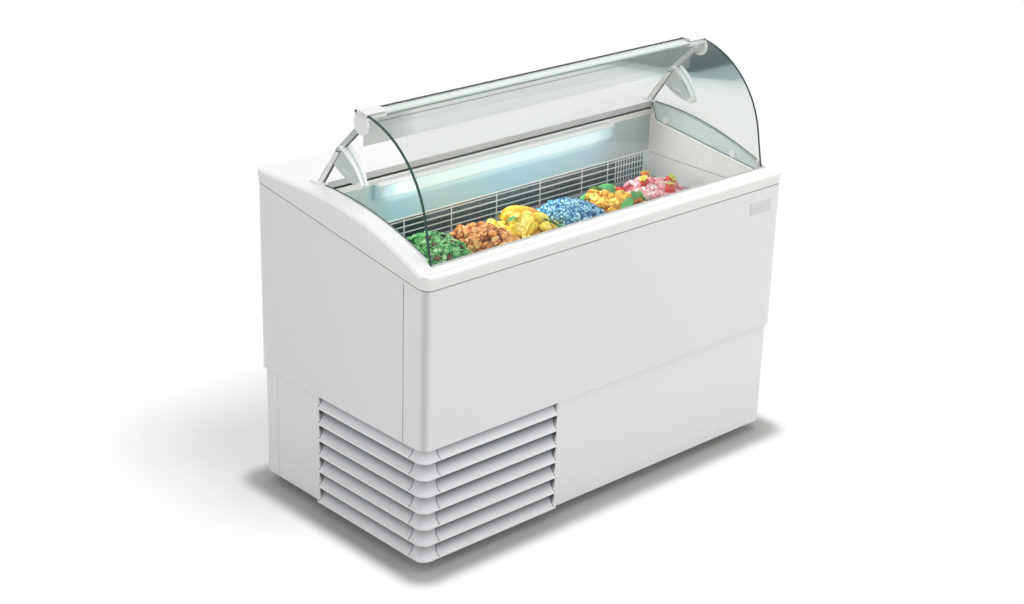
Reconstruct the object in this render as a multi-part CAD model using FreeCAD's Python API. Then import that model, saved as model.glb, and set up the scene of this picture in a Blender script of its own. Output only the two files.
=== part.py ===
import FreeCAD, Part
import math
import os

V = FreeCAD.Vector
os.makedirs("parts", exist_ok=True)

# Driving dimensions, millimetres. X runs along the length, Y to the rear, Z up.
LENGTH = 1320.0
FOOT_HEIGHT = 30.0
PLINTH_HEIGHT = 313.0
JOINT_FRONT = 427.0
REAR_EDGE = 31.0
RIM_HEIGHT = 38.0
WORKTOP_RISE = 562.0
CANOPY_HEIGHT = 232.0
WORKTOP_DEPTH = 218.0
RIM_DEPTH = 53.0
PAN_MARGIN = 27.5
END_FRAME_WIDTH = 55.0
PAN_PITCH = 165.0
PAN_COUNT = 6
PAN_LENGTH = 364.0
PAN_DEPTH = 120.0
PAN_SINK = 88.0
HEAP_RISE = 76.0
LOUVRE_COUNT = 7
GRILLE_FRONT_LENGTH = 468.0
GRILLE_SIDE_LENGTH = 437.0
GLASS = 6.0
SHEET = 2.0
LAMP_LENGTH = 858.0
STRUT_REACH = 168.0
COIL_LENGTH = 660.0
EVAPORATOR_FAN_X = 475.0
EVAPORATOR_FAN_RISE = 170.0
COMPRESSOR_X = 218.0
COMPRESSOR_Y = 41.0
CONDENSER_X = -383.0
CONDENSER_LENGTH = 317.0
CONDENSER_HEIGHT = 230.0
CONTROL_X = 224.0
INLET_X = -132.0
VENT_X = -409.0

# Named clearances.
OVERHANG = 3.0
SHADOW_GAP = 4.0
SEAM = 1.0
RUNNING = 0.06
REST = 0.2
MOVING = 2.5

# Levels and edges that follow from the driving dimensions.
DEPTH = RIM_DEPTH + 2 * PAN_MARGIN + PAN_LENGTH + WORKTOP_DEPTH
HX = LENGTH / 2
HY = DEPTH / 2
STEP_Z = FOOT_HEIGHT + PLINTH_HEIGHT
JOINT_Z = STEP_Z + JOINT_FRONT
WORKTOP_Z = STEP_Z + WORKTOP_RISE
JOINT_SLOPE = (WORKTOP_Z - REAR_EDGE - JOINT_Z) / DEPTH
RAIL_TOP = WORKTOP_Z + CANOPY_HEIGHT
SKIN_X = HX - OVERHANG
SKIN_Y = HY - OVERHANG
SKIN_R = 28.0
PLINTH_INSET = 12.0
PLINTH_X = HX - PLINTH_INSET
PLINTH_Y = HY - PLINTH_INSET
PLINTH_R = 16.0
FRAME_IN_X = HX - END_FRAME_WIDTH
RIM_IN_Y = -HY + RIM_DEPTH
WORKTOP_Y = HY - WORKTOP_DEPTH
SLAB = 30.0
SLAB_Z = WORKTOP_Z - SLAB
LEDGE_Z = JOINT_Z + RIM_HEIGHT
WALL_Y = WORKTOP_Y + 3.0
LINER_REAR = HY - 55.0
LINER_FLOOR = STEP_Z + 62.0
INSULATION_Z = STEP_Z + SHEET
PLATE_Z = FOOT_HEIGHT + 4.0
PLATE_T = 4.0
LOUVRE_DEPTH = 25.0


def joint_z(y):
    return JOINT_Z + JOINT_SLOPE * (y + HY)


def lip_z(y):
    """Top edge of the liner ends, hidden behind the end plates."""
    slope = (SLAB_Z - 12.0 - LEDGE_Z) / (WORKTOP_Y - RIM_IN_Y)
    return LEDGE_Z + 14.0 + slope * (y - RIM_IN_Y)


def box(x0, x1, y0, y1, z0, z1):
    return Part.makeBox(x1 - x0, y1 - y0, z1 - z0, V(x0, y0, z0))


def cylinder(centre, axis, radius, length):
    return Part.makeCylinder(radius, length, V(*centre), V(*axis))


def fuse(shapes):
    result = shapes[0].multiFuse(shapes[1:]) if len(shapes) > 1 else shapes[0]
    return result.removeSplitter()


def rounded(half_x, half_y, radius, z0, z1, centre_x=0.0, centre_y=0.0):
    block = box(centre_x - half_x, centre_x + half_x, centre_y - half_y, centre_y + half_y, z0, z1)
    uprights = [e for e in block.Edges if abs(e.Vertexes[0].Z - e.Vertexes[1].Z) > 0.9 * (z1 - z0)]
    return block.makeFillet(radius, uprights)


def polygon_yz(points, x0, x1):
    wire = Part.makePolygon([V(x0, y, z) for y, z in points] + [V(x0, *points[0])])
    return Part.Face(wire).extrude(V(x1 - x0, 0, 0))


def below_joint(drop):
    """Everything under the sloped joint plane, lowered by drop."""
    y0, y1 = -2 * HY, 2 * HY
    return polygon_yz([(y0, -500), (y1, -500), (y1, joint_z(y1) - drop), (y0, joint_z(y0) - drop)],
                      -2 * HX, 2 * HX)


def spline(points, first=None, last=None):
    curve = Part.BSplineCurve()
    if first is None:
        curve.interpolate(points)
    else:
        curve.interpolate(points, InitialTangent=first, FinalTangent=last)
    return curve.toShape()


def mirrored(shape):
    return shape.mirror(V(0, 0, 0), V(1, 0, 0))


def tube(points, radius):
    """A round bar along straight legs with ball corners."""
    pieces = []
    for a, b in zip(points[:-1], points[1:]):
        leg = V(*b) - V(*a)
        pieces.append(Part.makeCylinder(radius, leg.Length, V(*a), leg))
    for p in points[1:-1]:
        pieces.append(Part.makeSphere(radius, V(*p)))
    return fuse(pieces)


parts = {}

# Top frame: one moulding with the front rim, the arched ends and the rear worktop.
NOSE_R = 18.0
arch_start = (-HY + NOSE_R, LEDGE_Z)
arch_reach = WORKTOP_Y - 27 - arch_start[0]
arch_rise = WORKTOP_Z - LEDGE_Z
arch = [(arch_start[0] + along * arch_reach, LEDGE_Z + up * arch_rise)
        for along, up in ((0, 0), (0.103, 0.19), (0.323, 0.54), (0.546, 0.79), (0.773, 0.94), (1, 1))]
REAR_R = 20.0
CREST_R = 13.0
TRIM = 1.0


def frame_profile():
    """Side outline of the moulding, TRIM too deep at both ends; the plan outline trims it."""
    front, rear = -HY - TRIM, HY + TRIM
    corner = V(0, front, joint_z(front))
    nose_low = V(0, front, arch_start[1] - 15.0)
    nose_mid = V(0, front + 5.0, arch_start[1] - 4.4)
    start = V(0, *arch_start)
    end = V(0, *arch[-1])
    flat = V(0, rear - REAR_R, WORKTOP_Z)
    turn = V(0, rear - REAR_R * (1 - math.sqrt(0.5)), WORKTOP_Z - REAR_R * (1 - math.sqrt(0.5)))
    back = V(0, rear, WORKTOP_Z - REAR_R)
    low = V(0, rear, joint_z(rear))
    edges = [Part.makeLine(corner, nose_low),
             Part.Arc(nose_low, nose_mid, start).toShape(),
             spline([V(0, *p) for p in arch], V(0, 1, 0.42), V(0, 1, 0)),
             Part.makeLine(end, flat),
             Part.Arc(flat, turn, back).toShape(),
             Part.makeLine(back, low),
             Part.makeLine(low, corner)]
    return Part.Face(Part.Wire(edges))


def arch_height(y):
    """Height of the arch top over a given Y, read off the profile curve."""
    if y >= arch[-1][0]:
        return WORKTOP_Z
    line = Part.makeLine(V(0, y, JOINT_Z - 50), V(0, y, WORKTOP_Z + 50))
    inside = frame_profile().common(line)
    return max(v.Z for v in inside.Vertexes)


profile = frame_profile()
frame = profile.extrude(V(LENGTH + 2 * TRIM, 0, 0)).translated(V(-HX - TRIM, 0, 0))
crest = []
for e in frame.Edges:
    on_end = all(abs(abs(v.X) - HX - TRIM) < 0.01 for v in e.Vertexes)
    if on_end and e.BoundBox.XLength < 0.01:
        middle = e.valueAt((e.FirstParameter + e.LastParameter) / 2)
        if middle.z > joint_z(middle.y) + 22 and e.BoundBox.YLength > 3:
            crest.append(e)
frame = frame.makeFillet(CREST_R, crest)
frame = frame.common(rounded(HX, HY, SKIN_R + OVERHANG, STEP_Z, RAIL_TOP))
BEAD = 15.0
waist = rounded(HX - 1.5, HY - 1.5, SKIN_R + OVERHANG - 1.5, STEP_Z, RAIL_TOP)
band = below_joint(-BEAD).cut(waist)
frame = frame.cut(band)
frame = frame.cut(box(-FRAME_IN_X, FRAME_IN_X, RIM_IN_Y, WORKTOP_Y, STEP_Z, RAIL_TOP))
frame = frame.cut(box(-FRAME_IN_X, FRAME_IN_X, WORKTOP_Y - 1, LINER_REAR, STEP_Z, SLAB_Z))
GLASS_X = FRAME_IN_X + 1.0
frame = frame.cut(box(-GLASS_X - 5, GLASS_X + 5, RIM_IN_Y - 21, RIM_IN_Y + 9, LEDGE_Z, RAIL_TOP))
parts["top_frame"] = frame

# Insulation and the inner liner.
insulation = rounded(SKIN_X - SHEET, SKIN_Y - SHEET, SKIN_R - SHEET, INSULATION_Z, RAIL_TOP)
insulation = insulation.common(below_joint(0))
parts["insulation"] = insulation.cut(
    box(-FRAME_IN_X, FRAME_IN_X, RIM_IN_Y, LINER_REAR, LINER_FLOOR, RAIL_TOP))
liner = box(-FRAME_IN_X, FRAME_IN_X, RIM_IN_Y, LINER_REAR, LINER_FLOOR, SLAB_Z - 7)
LINER_X = FRAME_IN_X - SHEET
liner = liner.cut(box(-LINER_X, LINER_X, RIM_IN_Y + SHEET, LINER_REAR - SHEET,
                      LINER_FLOOR + SHEET, RAIL_TOP))
above_lip = [(-2 * HY, lip_z(-2 * HY)), (2 * HY, lip_z(2 * HY)), (2 * HY, 3000), (-2 * HY, 3000)]
liner = liner.cut(polygon_yz(above_lip, -HX, HX))
liner = liner.cut(box(-HX, HX, -HY, RIM_IN_Y + 9, LEDGE_Z - 2, RAIL_TOP))
GRID_TOP = JOINT_Z - 21.0
GROOVE = 0.8
groove_x = LINER_X + GROOVE
parts["liner"] = liner.cut(box(-groove_x, groove_x, RIM_IN_Y + 90, WALL_Y, GRID_TOP - 1, GRID_TOP + 1))

# Outer skins with a folded foot flange under the insulation.
SKIN_SPLIT_Y = -HY + 82.0
REAR_RETURN = 95.0
skin = rounded(SKIN_X, SKIN_Y, SKIN_R, STEP_Z, RAIL_TOP)
skin = skin.cut(rounded(SKIN_X - SHEET, SKIN_Y - SHEET, SKIN_R - SHEET, INSULATION_Z, RAIL_TOP))
skin = skin.cut(rounded(SKIN_X - 32, SKIN_Y - 32, 6.0, STEP_Z - 1, RAIL_TOP))
skin = skin.common(below_joint(SHADOW_GAP))
parts["skin_front"] = skin.common(box(-HX, HX, -HY, SKIN_SPLIT_Y, STEP_Z - 1, RAIL_TOP))
side = box(-HX, -HX + REAR_RETURN, SKIN_SPLIT_Y + SEAM, HY, STEP_Z - 1, RAIL_TOP)
parts["skin_left"] = skin.common(side)
parts["skin_right"] = skin.common(mirrored(side))
parts["skin_rear"] = skin.common(
    box(-HX + REAR_RETURN + SEAM, HX - REAR_RETURN - SEAM, 0, HY, STEP_Z - 1, RAIL_TOP))

# Plinth panels under the step.
GRILLE_X1 = -HX + GRILLE_FRONT_LENGTH
GRILLE_Y1 = -HY + GRILLE_SIDE_LENGTH
plinth = rounded(PLINTH_X, PLINTH_Y, PLINTH_R, FOOT_HEIGHT, STEP_Z)
plinth = plinth.cut(rounded(PLINTH_X - SHEET, PLINTH_Y - SHEET, PLINTH_R - SHEET, 0, RAIL_TOP))
PLINTH_SPLIT = HY - 70.0
CONTROL_Z = STEP_Z - 60.0
parts["plinth_front"] = plinth.common(
    box(GRILLE_X1 + SEAM, HX, -HY, -PLINTH_SPLIT, 0, RAIL_TOP))
parts["plinth_right"] = plinth.common(
    box(0, HX, -PLINTH_SPLIT + SEAM, PLINTH_SPLIT - SEAM, 0, RAIL_TOP))
parts["plinth_left"] = plinth.common(
    box(-HX, 0, GRILLE_Y1 + SEAM, PLINTH_SPLIT - SEAM, 0, RAIL_TOP))
service = plinth.common(box(-HX, HX, PLINTH_SPLIT, HY, 0, RAIL_TOP))
slot_cutters = []
for column in range(5):
    for row in range(6):
        x = VENT_X + column * 62
        z = FOOT_HEIGHT + 70 + row * 22
        slot_cutters.append(box(x, x + 48, 0, HY, z, z + 8))
service = service.cut(Part.makeCompound(slot_cutters))
service = service.cut(box(CONTROL_X - 78, CONTROL_X + 78, 0, HY, CONTROL_Z - 28, CONTROL_Z + 28))
INLET_Z = FOOT_HEIGHT + 45.0
INLET_R = 11.0
service = service.cut(cylinder((INLET_X, 0, INLET_Z), (0, 1, 0), INLET_R + REST, HY))
parts["plinth_rear"] = service

# Louvred grille round the front left corner. A blade leans out and down to a lip.
LOUVRE_PITCH = PLINTH_HEIGHT / LOUVRE_COUNT * 1.05
BLADE_H = LOUVRE_PITCH
outer_curve = [(0, 5), (8, 9.5), (14, 19), (17.5, 32), (19, BLADE_H)]
inner_curve = [(21.4, BLADE_H), (19.8, 31), (16, 17), (9.8, 7), (2.4, 0)]


def blade_face(place):
    """One louvre section; place maps depth and height to a point."""
    bottom = place(0, 0)
    outer = [place(d, z) for d, z in outer_curve]
    inner = [place(d, z) for d, z in inner_curve]
    edges = [Part.makeLine(bottom, outer[0]), spline(outer), Part.makeLine(outer[-1], inner[0]),
             spline(inner), Part.makeLine(inner[-1], bottom)]
    return Part.Face(Part.Wire(edges))


CORNER_LEG = 56.0
CORE_R = 9.0
axis_x = -SKIN_X + SKIN_R
axis_y = -SKIN_Y + SKIN_R
seam_x = -SKIN_X + CORNER_LEG
seam_y = -SKIN_Y + CORNER_LEG
front_blades, side_blades, corner_blades = [], [], []
for k in range(LOUVRE_COUNT):
    z0 = FOOT_HEIGHT + k * LOUVRE_PITCH * 0.985
    front = blade_face(lambda d, z: V(axis_x, -SKIN_Y + d, z0 + z))
    side_face = blade_face(lambda d, z: V(-SKIN_X + d, axis_y, z0 + z))
    front_blades.append(front.translated(V(seam_x + SEAM - axis_x, 0, 0))
                        .extrude(V(GRILLE_X1 - seam_x - SEAM, 0, 0)))
    side_blades.append(side_face.translated(V(0, seam_y + SEAM - axis_y, 0))
                       .extrude(V(0, GRILLE_Y1 - seam_y - SEAM, 0)))
    corner_blades.append(front.extrude(V(seam_x - axis_x, 0, 0)))
    corner_blades.append(side_face.extrude(V(0, seam_y - axis_y, 0)))
    corner_blades.append(side_face.revolve(V(axis_x, axis_y, 0), V(0, 0, 1), 90))
grille_zone = box(-HX, HX, -HY, HY, FOOT_HEIGHT, STEP_Z)
RIB = 4.0
ribs = []
for i in range(4):
    x = seam_x + SEAM + i * (GRILLE_X1 - seam_x - SEAM - RIB) / 3
    ribs.append(box(x, x + RIB, -SKIN_Y + 17, -SKIN_Y + LOUVRE_DEPTH, FOOT_HEIGHT + 6, STEP_Z))
cheek = box(GRILLE_X1 - RIB, GRILLE_X1, -SKIN_Y + 9, -SKIN_Y + LOUVRE_DEPTH, FOOT_HEIGHT, STEP_Z)
parts["grille_front"] = fuse([b.common(grille_zone) for b in front_blades] + ribs + [cheek])
ribs = []
for i in range(4):
    y = seam_y + SEAM + i * (GRILLE_Y1 - seam_y - SEAM - RIB) / 3
    ribs.append(box(-SKIN_X + 17, -SKIN_X + LOUVRE_DEPTH, y, y + RIB, FOOT_HEIGHT + 6, STEP_Z))
cheek = box(-SKIN_X + 9, -SKIN_X + LOUVRE_DEPTH, GRILLE_Y1 - RIB, GRILLE_Y1, FOOT_HEIGHT, STEP_Z)
parts["grille_left"] = fuse([b.common(grille_zone) for b in side_blades] + ribs + [cheek])
core = cylinder((axis_x, axis_y, FOOT_HEIGHT + 6), (0, 0, 1), CORE_R, PLINTH_HEIGHT - 6)
legs = [box(-SKIN_X + 17, -SKIN_X + LOUVRE_DEPTH, seam_y - RIB, seam_y, FOOT_HEIGHT + 6, STEP_Z),
        box(seam_x - RIB, seam_x, -SKIN_Y + 17, -SKIN_Y + LOUVRE_DEPTH, FOOT_HEIGHT + 6, STEP_Z)]
parts["grille_corner"] = fuse([b.common(grille_zone) for b in corner_blades] + [core] + legs)

# Chassis: tray, posts and the top ring that carries the insulated body.
POST_X = SKIN_X - 57.0
POST_Y = SKIN_Y - 52.0
FOOT_X = POST_X - 45.0
FOOT_Y = POST_Y - 20.0
STEM_R = 5.0
tray = rounded(PLINTH_X - SHEET, PLINTH_Y - SHEET, PLINTH_R - SHEET, PLATE_Z, PLATE_Z + PLATE_T)
tray = tray.cut(box(-HX, GRILLE_X1 + SEAM, -HY, -SKIN_Y + LOUVRE_DEPTH, 0, STEP_Z))
tray = tray.cut(box(-HX, -SKIN_X + LOUVRE_DEPTH, -HY, GRILLE_Y1 + SEAM, 0, STEP_Z))
tray = tray.cut(cylinder((axis_x, axis_y, 0), (0, 0, 1), CORE_R + SEAM, STEP_Z))
steel = [tray]
for sx in (-1, 1):
    for sy in (-1, 1):
        x, y = sx * POST_X, sy * POST_Y
        steel.append(box(x - 15, x + 15, y - 15, y + 15, PLATE_Z, INSULATION_Z))
ring = box(-POST_X - 15, POST_X + 15, -POST_Y - 15, POST_Y + 15, INSULATION_Z - 22, INSULATION_Z)
ring = ring.cut(box(-POST_X + 15, POST_X - 15, -POST_Y + 15, POST_Y - 15, 0, RAIL_TOP))
chassis = fuse(steel + [ring])
for sx in (-1, 1):
    for sy in (-1, 1):
        stem_hole = cylinder((sx * FOOT_X, sy * FOOT_Y, 0), (0, 0, 1), STEM_R + RUNNING, STEP_Z / 2)
        chassis = chassis.cut(stem_hole)
parts["chassis"] = chassis
for name, sx, sy in (("front_left", -1, -1), ("front_right", 1, -1),
                     ("rear_left", -1, 1), ("rear_right", 1, 1)):
    x, y = sx * FOOT_X, sy * FOOT_Y
    pad = Part.makeCone(24.0, 18.0, 9.0, V(x, y, 0))
    nut = cylinder((x, y, PLATE_Z - 8 - REST), (0, 0, 1), 9.0, 8.0)
    flats = rounded(8.2, 9.5, 1.0, PLATE_Z - 9, PLATE_Z, x, y)
    stem = cylinder((x, y, 5), (0, 0, 1), STEM_R, PLATE_Z + PLATE_T + 22)
    parts["foot_" + name] = fuse([pad, nut.common(flats), stem])

# End plates with two round caps each, seated on the liner ends.
PLATE_Y0 = RIM_IN_Y + 10.0
PLATE_Y1 = WORKTOP_Y - 6.0
steps = 14
crest_points = []
for i in range(steps + 1):
    y = PLATE_Y0 + (PLATE_Y1 - PLATE_Y0) * i / steps
    crest_points.append((y, arch_height(y) - 3.0))
PLATE_LAP = 22.0
PLATE_SLANT = 20.0
low_points = [(PLATE_Y1 - PLATE_SLANT, lip_z(PLATE_Y1 - PLATE_SLANT) - PLATE_LAP),
              (PLATE_Y0, lip_z(PLATE_Y0) - PLATE_LAP)]
plate_x = LINER_X - 3.0
crest_edge = spline([V(plate_x, *p) for p in crest_points])
low = [V(plate_x, *p) for p in low_points]
plate_edges = [crest_edge,
               Part.makeLine(V(plate_x, *crest_points[-1]), low[0]),
               Part.makeLine(low[0], low[1]),
               Part.makeLine(low[1], V(plate_x, *crest_points[0]))]
end_plate = Part.Face(Part.Wire(plate_edges)).extrude(V(3.0, 0, 0))
caps = []
BUTTON_R = 11.0
BUTTON_H = 4.0
for share in (0.213, 0.863):
    y = PLATE_Y0 + share * (PLATE_Y1 - PLATE_Y0)
    z = lip_z(y) - PLATE_LAP + 13.0
    button = cylinder((plate_x, y, z), (-1, 0, 0), BUTTON_R, BUTTON_H)
    button = button.makeFillet(2.0, [e for e in button.Edges
                                     if abs(e.BoundBox.XMin - plate_x + BUTTON_H) < 0.01
                                     and e.BoundBox.XLength < 0.01])
    caps.append(button)
parts["end_plate_right"] = fuse([end_plate] + caps)
parts["end_plate_left"] = mirrored(parts["end_plate_right"])

# Rear wall inside the display, lamp, air grid and pan frame.
GRID_LOW = LINER_FLOOR + 150.0
parts["rear_wall"] = box(-LINER_X, LINER_X, WALL_Y, WALL_Y + 3, GRID_TOP, SLAB_Z)
LAMP_X = LAMP_LENGTH / 2
LAMP_Z0 = SLAB_Z - 50.0
LAMP_Z1 = SLAB_Z - 2.0
lamp_y0 = WALL_Y - 22.0
cover = box(-LAMP_X, LAMP_X, lamp_y0, WALL_Y, LAMP_Z0, LAMP_Z1)
cover = cover.makeFillet(8.0, [e for e in cover.Edges if abs(e.BoundBox.YMax - lamp_y0) < 0.01
                               and e.BoundBox.XLength > 100])
parts["lamp_cover"] = cover.cut(box(-LAMP_X + 2, LAMP_X - 2, lamp_y0 + 2, WALL_Y, LAMP_Z0 + 2, LAMP_Z1 - 2))
TUBE_R = 8.0
tube_z = (LAMP_Z0 + LAMP_Z1) / 2
tube_y = WALL_Y - 11.0
lamp = [cylinder((-LAMP_X + 14, tube_y, tube_z), (1, 0, 0), TUBE_R, 2 * LAMP_X - 28)]
for sx in (-1, 1):
    x = sx * (LAMP_X - 9)
    lamp.append(box(x - 6, x + 6, tube_y - 5, WALL_Y, tube_z - 9, tube_z + 9))
parts["lamp_tube"] = fuse(lamp)
GRID_T = 1.5
grid = box(-LINER_X, LINER_X, WALL_Y, WALL_Y + GRID_T, GRID_LOW, GRID_TOP)
WIRE = 3.0
ROW = 17.0
SLOT_ROWS = 5
MESH_PITCH = 11.5
MESH_X = 2 * PAN_PITCH + 138.0
holes = []
wires = [0, PAN_PITCH, 2 * PAN_PITCH, MESH_X - 33, MESH_X]
cells = [(a + WIRE / 2, b - WIRE / 2) for a, b in zip(wires[:-1], wires[1:])]
mesh = []
for column in range(int((LINER_X - 12 - MESH_X) / MESH_PITCH)):
    x = MESH_X + WIRE / 2 + column * MESH_PITCH
    mesh.append((x, x + MESH_PITCH - WIRE))
top_wire = GRID_TOP - 5.0
for row in range(SLOT_ROWS):
    z1 = GRID_TOP - 1 if row == 0 else top_wire - WIRE - (row - 1) * ROW
    z0 = top_wire if row == 0 else z1 - ROW + WIRE
    for x0, x1 in cells + mesh:
        holes.append(box(x0, x1, WALL_Y - 1, WALL_Y + GRID_T + 1, z0, z1))
        holes.append(box(-x1, -x0, WALL_Y - 1, WALL_Y + GRID_T + 1, z0, z1))
parts["air_grid"] = grid.cut(Part.makeCompound(holes))
PAN_Z = JOINT_Z - PAN_SINK
PAN_RIM = 2.0
PAN_MID_Y = (RIM_IN_Y + SHEET + WALL_Y) / 2
ROW_X = PAN_PITCH * PAN_COUNT / 2
bed_z = PAN_Z - PAN_RIM - REST
bed = box(-LINER_X, LINER_X, RIM_IN_Y + SHEET, WALL_Y, bed_z - 12, bed_z)
parts["pan_frame"] = bed.cut(box(-ROW_X - 2, ROW_X + 2, PAN_MID_Y - PAN_LENGTH / 2 + 6,
                                 PAN_MID_Y + PAN_LENGTH / 2 - 6, 0, RAIL_TOP))

# Six pans and their fillings.
PAN_GAP = 2.0
flange_x = (PAN_PITCH - PAN_GAP) / 2
flange_y = PAN_LENGTH / 2
bowl_x = flange_x - 4.0
bowl_y = flange_y - 8.0
PAN_WALL = 1.5
HEAP_ROOT = 14.0
HEAP_SHIFT = 25.0
heap_y = PAN_MID_Y - HEAP_SHIFT
for k in range(PAN_COUNT):
    cx = -ROW_X + (k + 0.5) * PAN_PITCH
    flange = rounded(flange_x, flange_y, 14.0, PAN_Z - PAN_RIM, PAN_Z, cx, PAN_MID_Y)
    bowl = rounded(bowl_x, bowl_y, 18.0, PAN_Z - PAN_DEPTH, PAN_Z, cx, PAN_MID_Y)
    inside = rounded(bowl_x - PAN_WALL, bowl_y - PAN_WALL, 18.0 - PAN_WALL,
                     PAN_Z - PAN_DEPTH + PAN_WALL, RAIL_TOP, cx, PAN_MID_Y)
    parts["pan_%d" % (k + 1)] = flange.fuse(bowl).removeSplitter().cut(inside)
    body = inside.common(box(-HX, HX, -HY, HY, 0, PAN_Z - 8))
    heap = Part.makeSphere(1.0)
    scale = FreeCAD.Matrix()
    scale.scale(bowl_x + 12, bowl_y + 10 - HEAP_SHIFT, HEAP_RISE + HEAP_ROOT)
    heap = heap.transformGeometry(scale).translated(V(cx, heap_y, PAN_Z - HEAP_ROOT))
    heap = heap.common(rounded(bowl_x - PAN_WALL, bowl_y - PAN_WALL, 18.0 - PAN_WALL,
                               PAN_Z - 8, RAIL_TOP, cx, PAN_MID_Y))
    parts["filling_%d" % (k + 1)] = body.fuse(heap).removeSplitter()

# Aluminium strip along the worktop edge, glass seal and blank badge.
parts["worktop_strip"] = box(-FRAME_IN_X, FRAME_IN_X, WORKTOP_Y - 3, WORKTOP_Y, WORKTOP_Z - 16, WORKTOP_Z)
GLASS_FOOT_Z = LEDGE_Z + 4.0
GLASS_FOOT_Y = RIM_IN_Y - 7.5
parts["glass_seal"] = box(-GLASS_X - 4, GLASS_X + 4, GLASS_FOOT_Y - 6, GLASS_FOOT_Y + 6,
                          LEDGE_Z, GLASS_FOOT_Z - 1.2)
badge = box(HX - 138, HX - 52, -SKIN_Y - 2.0, -SKIN_Y, JOINT_Z - 72, JOINT_Z - 36)
parts["badge"] = badge.makeFillet(0.8, [e for e in badge.Edges if abs(e.BoundBox.YMax + SKIN_Y + 2.0) < 0.01])

# Canopy: struts with pivot discs, arms, rail, caps and the curved glass.
PIVOT_Y = WORKTOP_Y - STRUT_REACH
PIVOT_Z = RAIL_TOP - 34.0
PIN_R = 6.0
DISC_R = 19.0
CAP_R = 27.0
COVER = 3.0
ELBOW = (PIVOT_Y + 97.0, PIVOT_Z - 90.0)
HEEL = (WORKTOP_Y + 7.0, WORKTOP_Z)
BAR = 8.0
STRUT_X0 = FRAME_IN_X - 9.0
STRUT_X1 = STRUT_X0 + 8.0


def leg_yz(a, b, half, x0, x1):
    dy, dz = b[0] - a[0], b[1] - a[1]
    size = math.hypot(dy, dz)
    ny, nz = -dz / size * half, dy / size * half
    return polygon_yz([(a[0] + ny, a[1] + nz), (b[0] + ny, b[1] + nz), (b[0] - ny, b[1] - nz),
                       (a[0] - ny, a[1] - nz)], x0, x1)


run_down = ((HEEL[0] - ELBOW[0]) * 1.3 + ELBOW[0], (HEEL[1] - ELBOW[1]) * 1.3 + ELBOW[1])
lower_leg = leg_yz(ELBOW, run_down, BAR, STRUT_X0, STRUT_X1)
lower_leg = lower_leg.common(box(0, HX, -HY, HY, WORKTOP_Z, RAIL_TOP))
strut = fuse([leg_yz((PIVOT_Y, PIVOT_Z), ELBOW, BAR, STRUT_X0, STRUT_X1), lower_leg,
              cylinder((STRUT_X0, *ELBOW), (1, 0, 0), BAR, STRUT_X1 - STRUT_X0),
              cylinder((STRUT_X0, PIVOT_Y, PIVOT_Z), (1, 0, 0), DISC_R, STRUT_X1 - STRUT_X0),
              box(STRUT_X0 - 2, STRUT_X1 + 12, HEEL[0] - 22, HEEL[0] + 24, WORKTOP_Z, WORKTOP_Z + 5)])
strut = strut.cut(cylinder((STRUT_X0 - 5, PIVOT_Y, PIVOT_Z), (1, 0, 0), PIN_R + RUNNING, 30.0))
parts["strut_right"] = strut
parts["strut_left"] = mirrored(strut)

# The arm fills the elbow: a slotted web between both legs, a bowed front flange and a round tip.
ARM_ROOT = 27.0
ARM_FOOT = 46.0
ARM_BOW = 11.0
ARM_WIDE = 18.0
ARM_NARROW = 7.0
FLANGE = 3.0
TIP = (PIVOT_Y + 9.0, PIVOT_Z - 159.0)
TIP_R = 9.0


def along(a, b, distance):
    """The point at a distance from a towards b."""
    size = math.hypot(b[0] - a[0], b[1] - a[1])
    return (a[0] + (b[0] - a[0]) * distance / size, a[1] + (b[1] - a[1]) * distance / size)


def bowed(a, b, bow, x):
    """An arc from a to b in the plane X = x, pushed to its left by bow at the middle."""
    size = math.hypot(b[0] - a[0], b[1] - a[1])
    middle = ((a[0] + b[0]) / 2 + (b[1] - a[1]) / size * bow, (a[1] + b[1]) / 2 - (b[0] - a[0]) / size * bow)
    return Part.Arc(V(x, *a), V(x, *middle), V(x, *b)).toShape()


centre_x = (STRUT_X0 + STRUT_X1) / 2
web_x = STRUT_X0 + 1.0
root_high = along(ELBOW, (PIVOT_Y, PIVOT_Z), ARM_ROOT)
root_low = along(ELBOW, HEEL, ARM_FOOT)
nose_high = (TIP[0] - TIP_R - FLANGE, TIP[1] + 2.0)
nose_low = (TIP[0], TIP[1] - TIP_R + 1.0)
web = Part.Wire([bowed(root_high, nose_high, ARM_BOW, web_x),
                 Part.makeLine(V(web_x, *nose_high), V(web_x, *nose_low)),
                 bowed(nose_low, root_low, ARM_BOW, web_x),
                 Part.makeLine(V(web_x, *root_low), V(web_x, *ELBOW)),
                 Part.makeLine(V(web_x, *ELBOW), V(web_x, *root_high))])
web = Part.Face(web).extrude(V(STRUT_X1 - STRUT_X0 - 2.0, 0, 0))
wide_x = centre_x - ARM_WIDE
inner_high = (root_high[0] + FLANGE, root_high[1] - FLANGE)
inner_nose = (nose_high[0] + FLANGE, nose_high[1] - FLANGE)
band = Part.Wire([bowed(root_high, nose_high, ARM_BOW, wide_x),
                  Part.makeLine(V(wide_x, *nose_high), V(wide_x, *inner_nose)),
                  bowed(inner_nose, inner_high, -ARM_BOW, wide_x),
                  Part.makeLine(V(wide_x, *inner_high), V(wide_x, *root_high))])
band = Part.Face(band).extrude(V(2 * ARM_WIDE, 0, 0))
taper = Part.makePolygon([V(centre_x - ARM_WIDE, -HY, root_high[1] + 30),
                          V(centre_x + ARM_WIDE, -HY, root_high[1] + 30),
                          V(centre_x + ARM_WIDE, -HY, root_high[1] - 8),
                          V(centre_x + ARM_NARROW, -HY, TIP[1] - 20),
                          V(centre_x - ARM_NARROW, -HY, TIP[1] - 20),
                          V(centre_x - ARM_WIDE, -HY, root_high[1] - 8),
                          V(centre_x - ARM_WIDE, -HY, root_high[1] + 30)])
band = band.common(Part.Face(taper).extrude(V(0, DEPTH, 0)))
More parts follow.
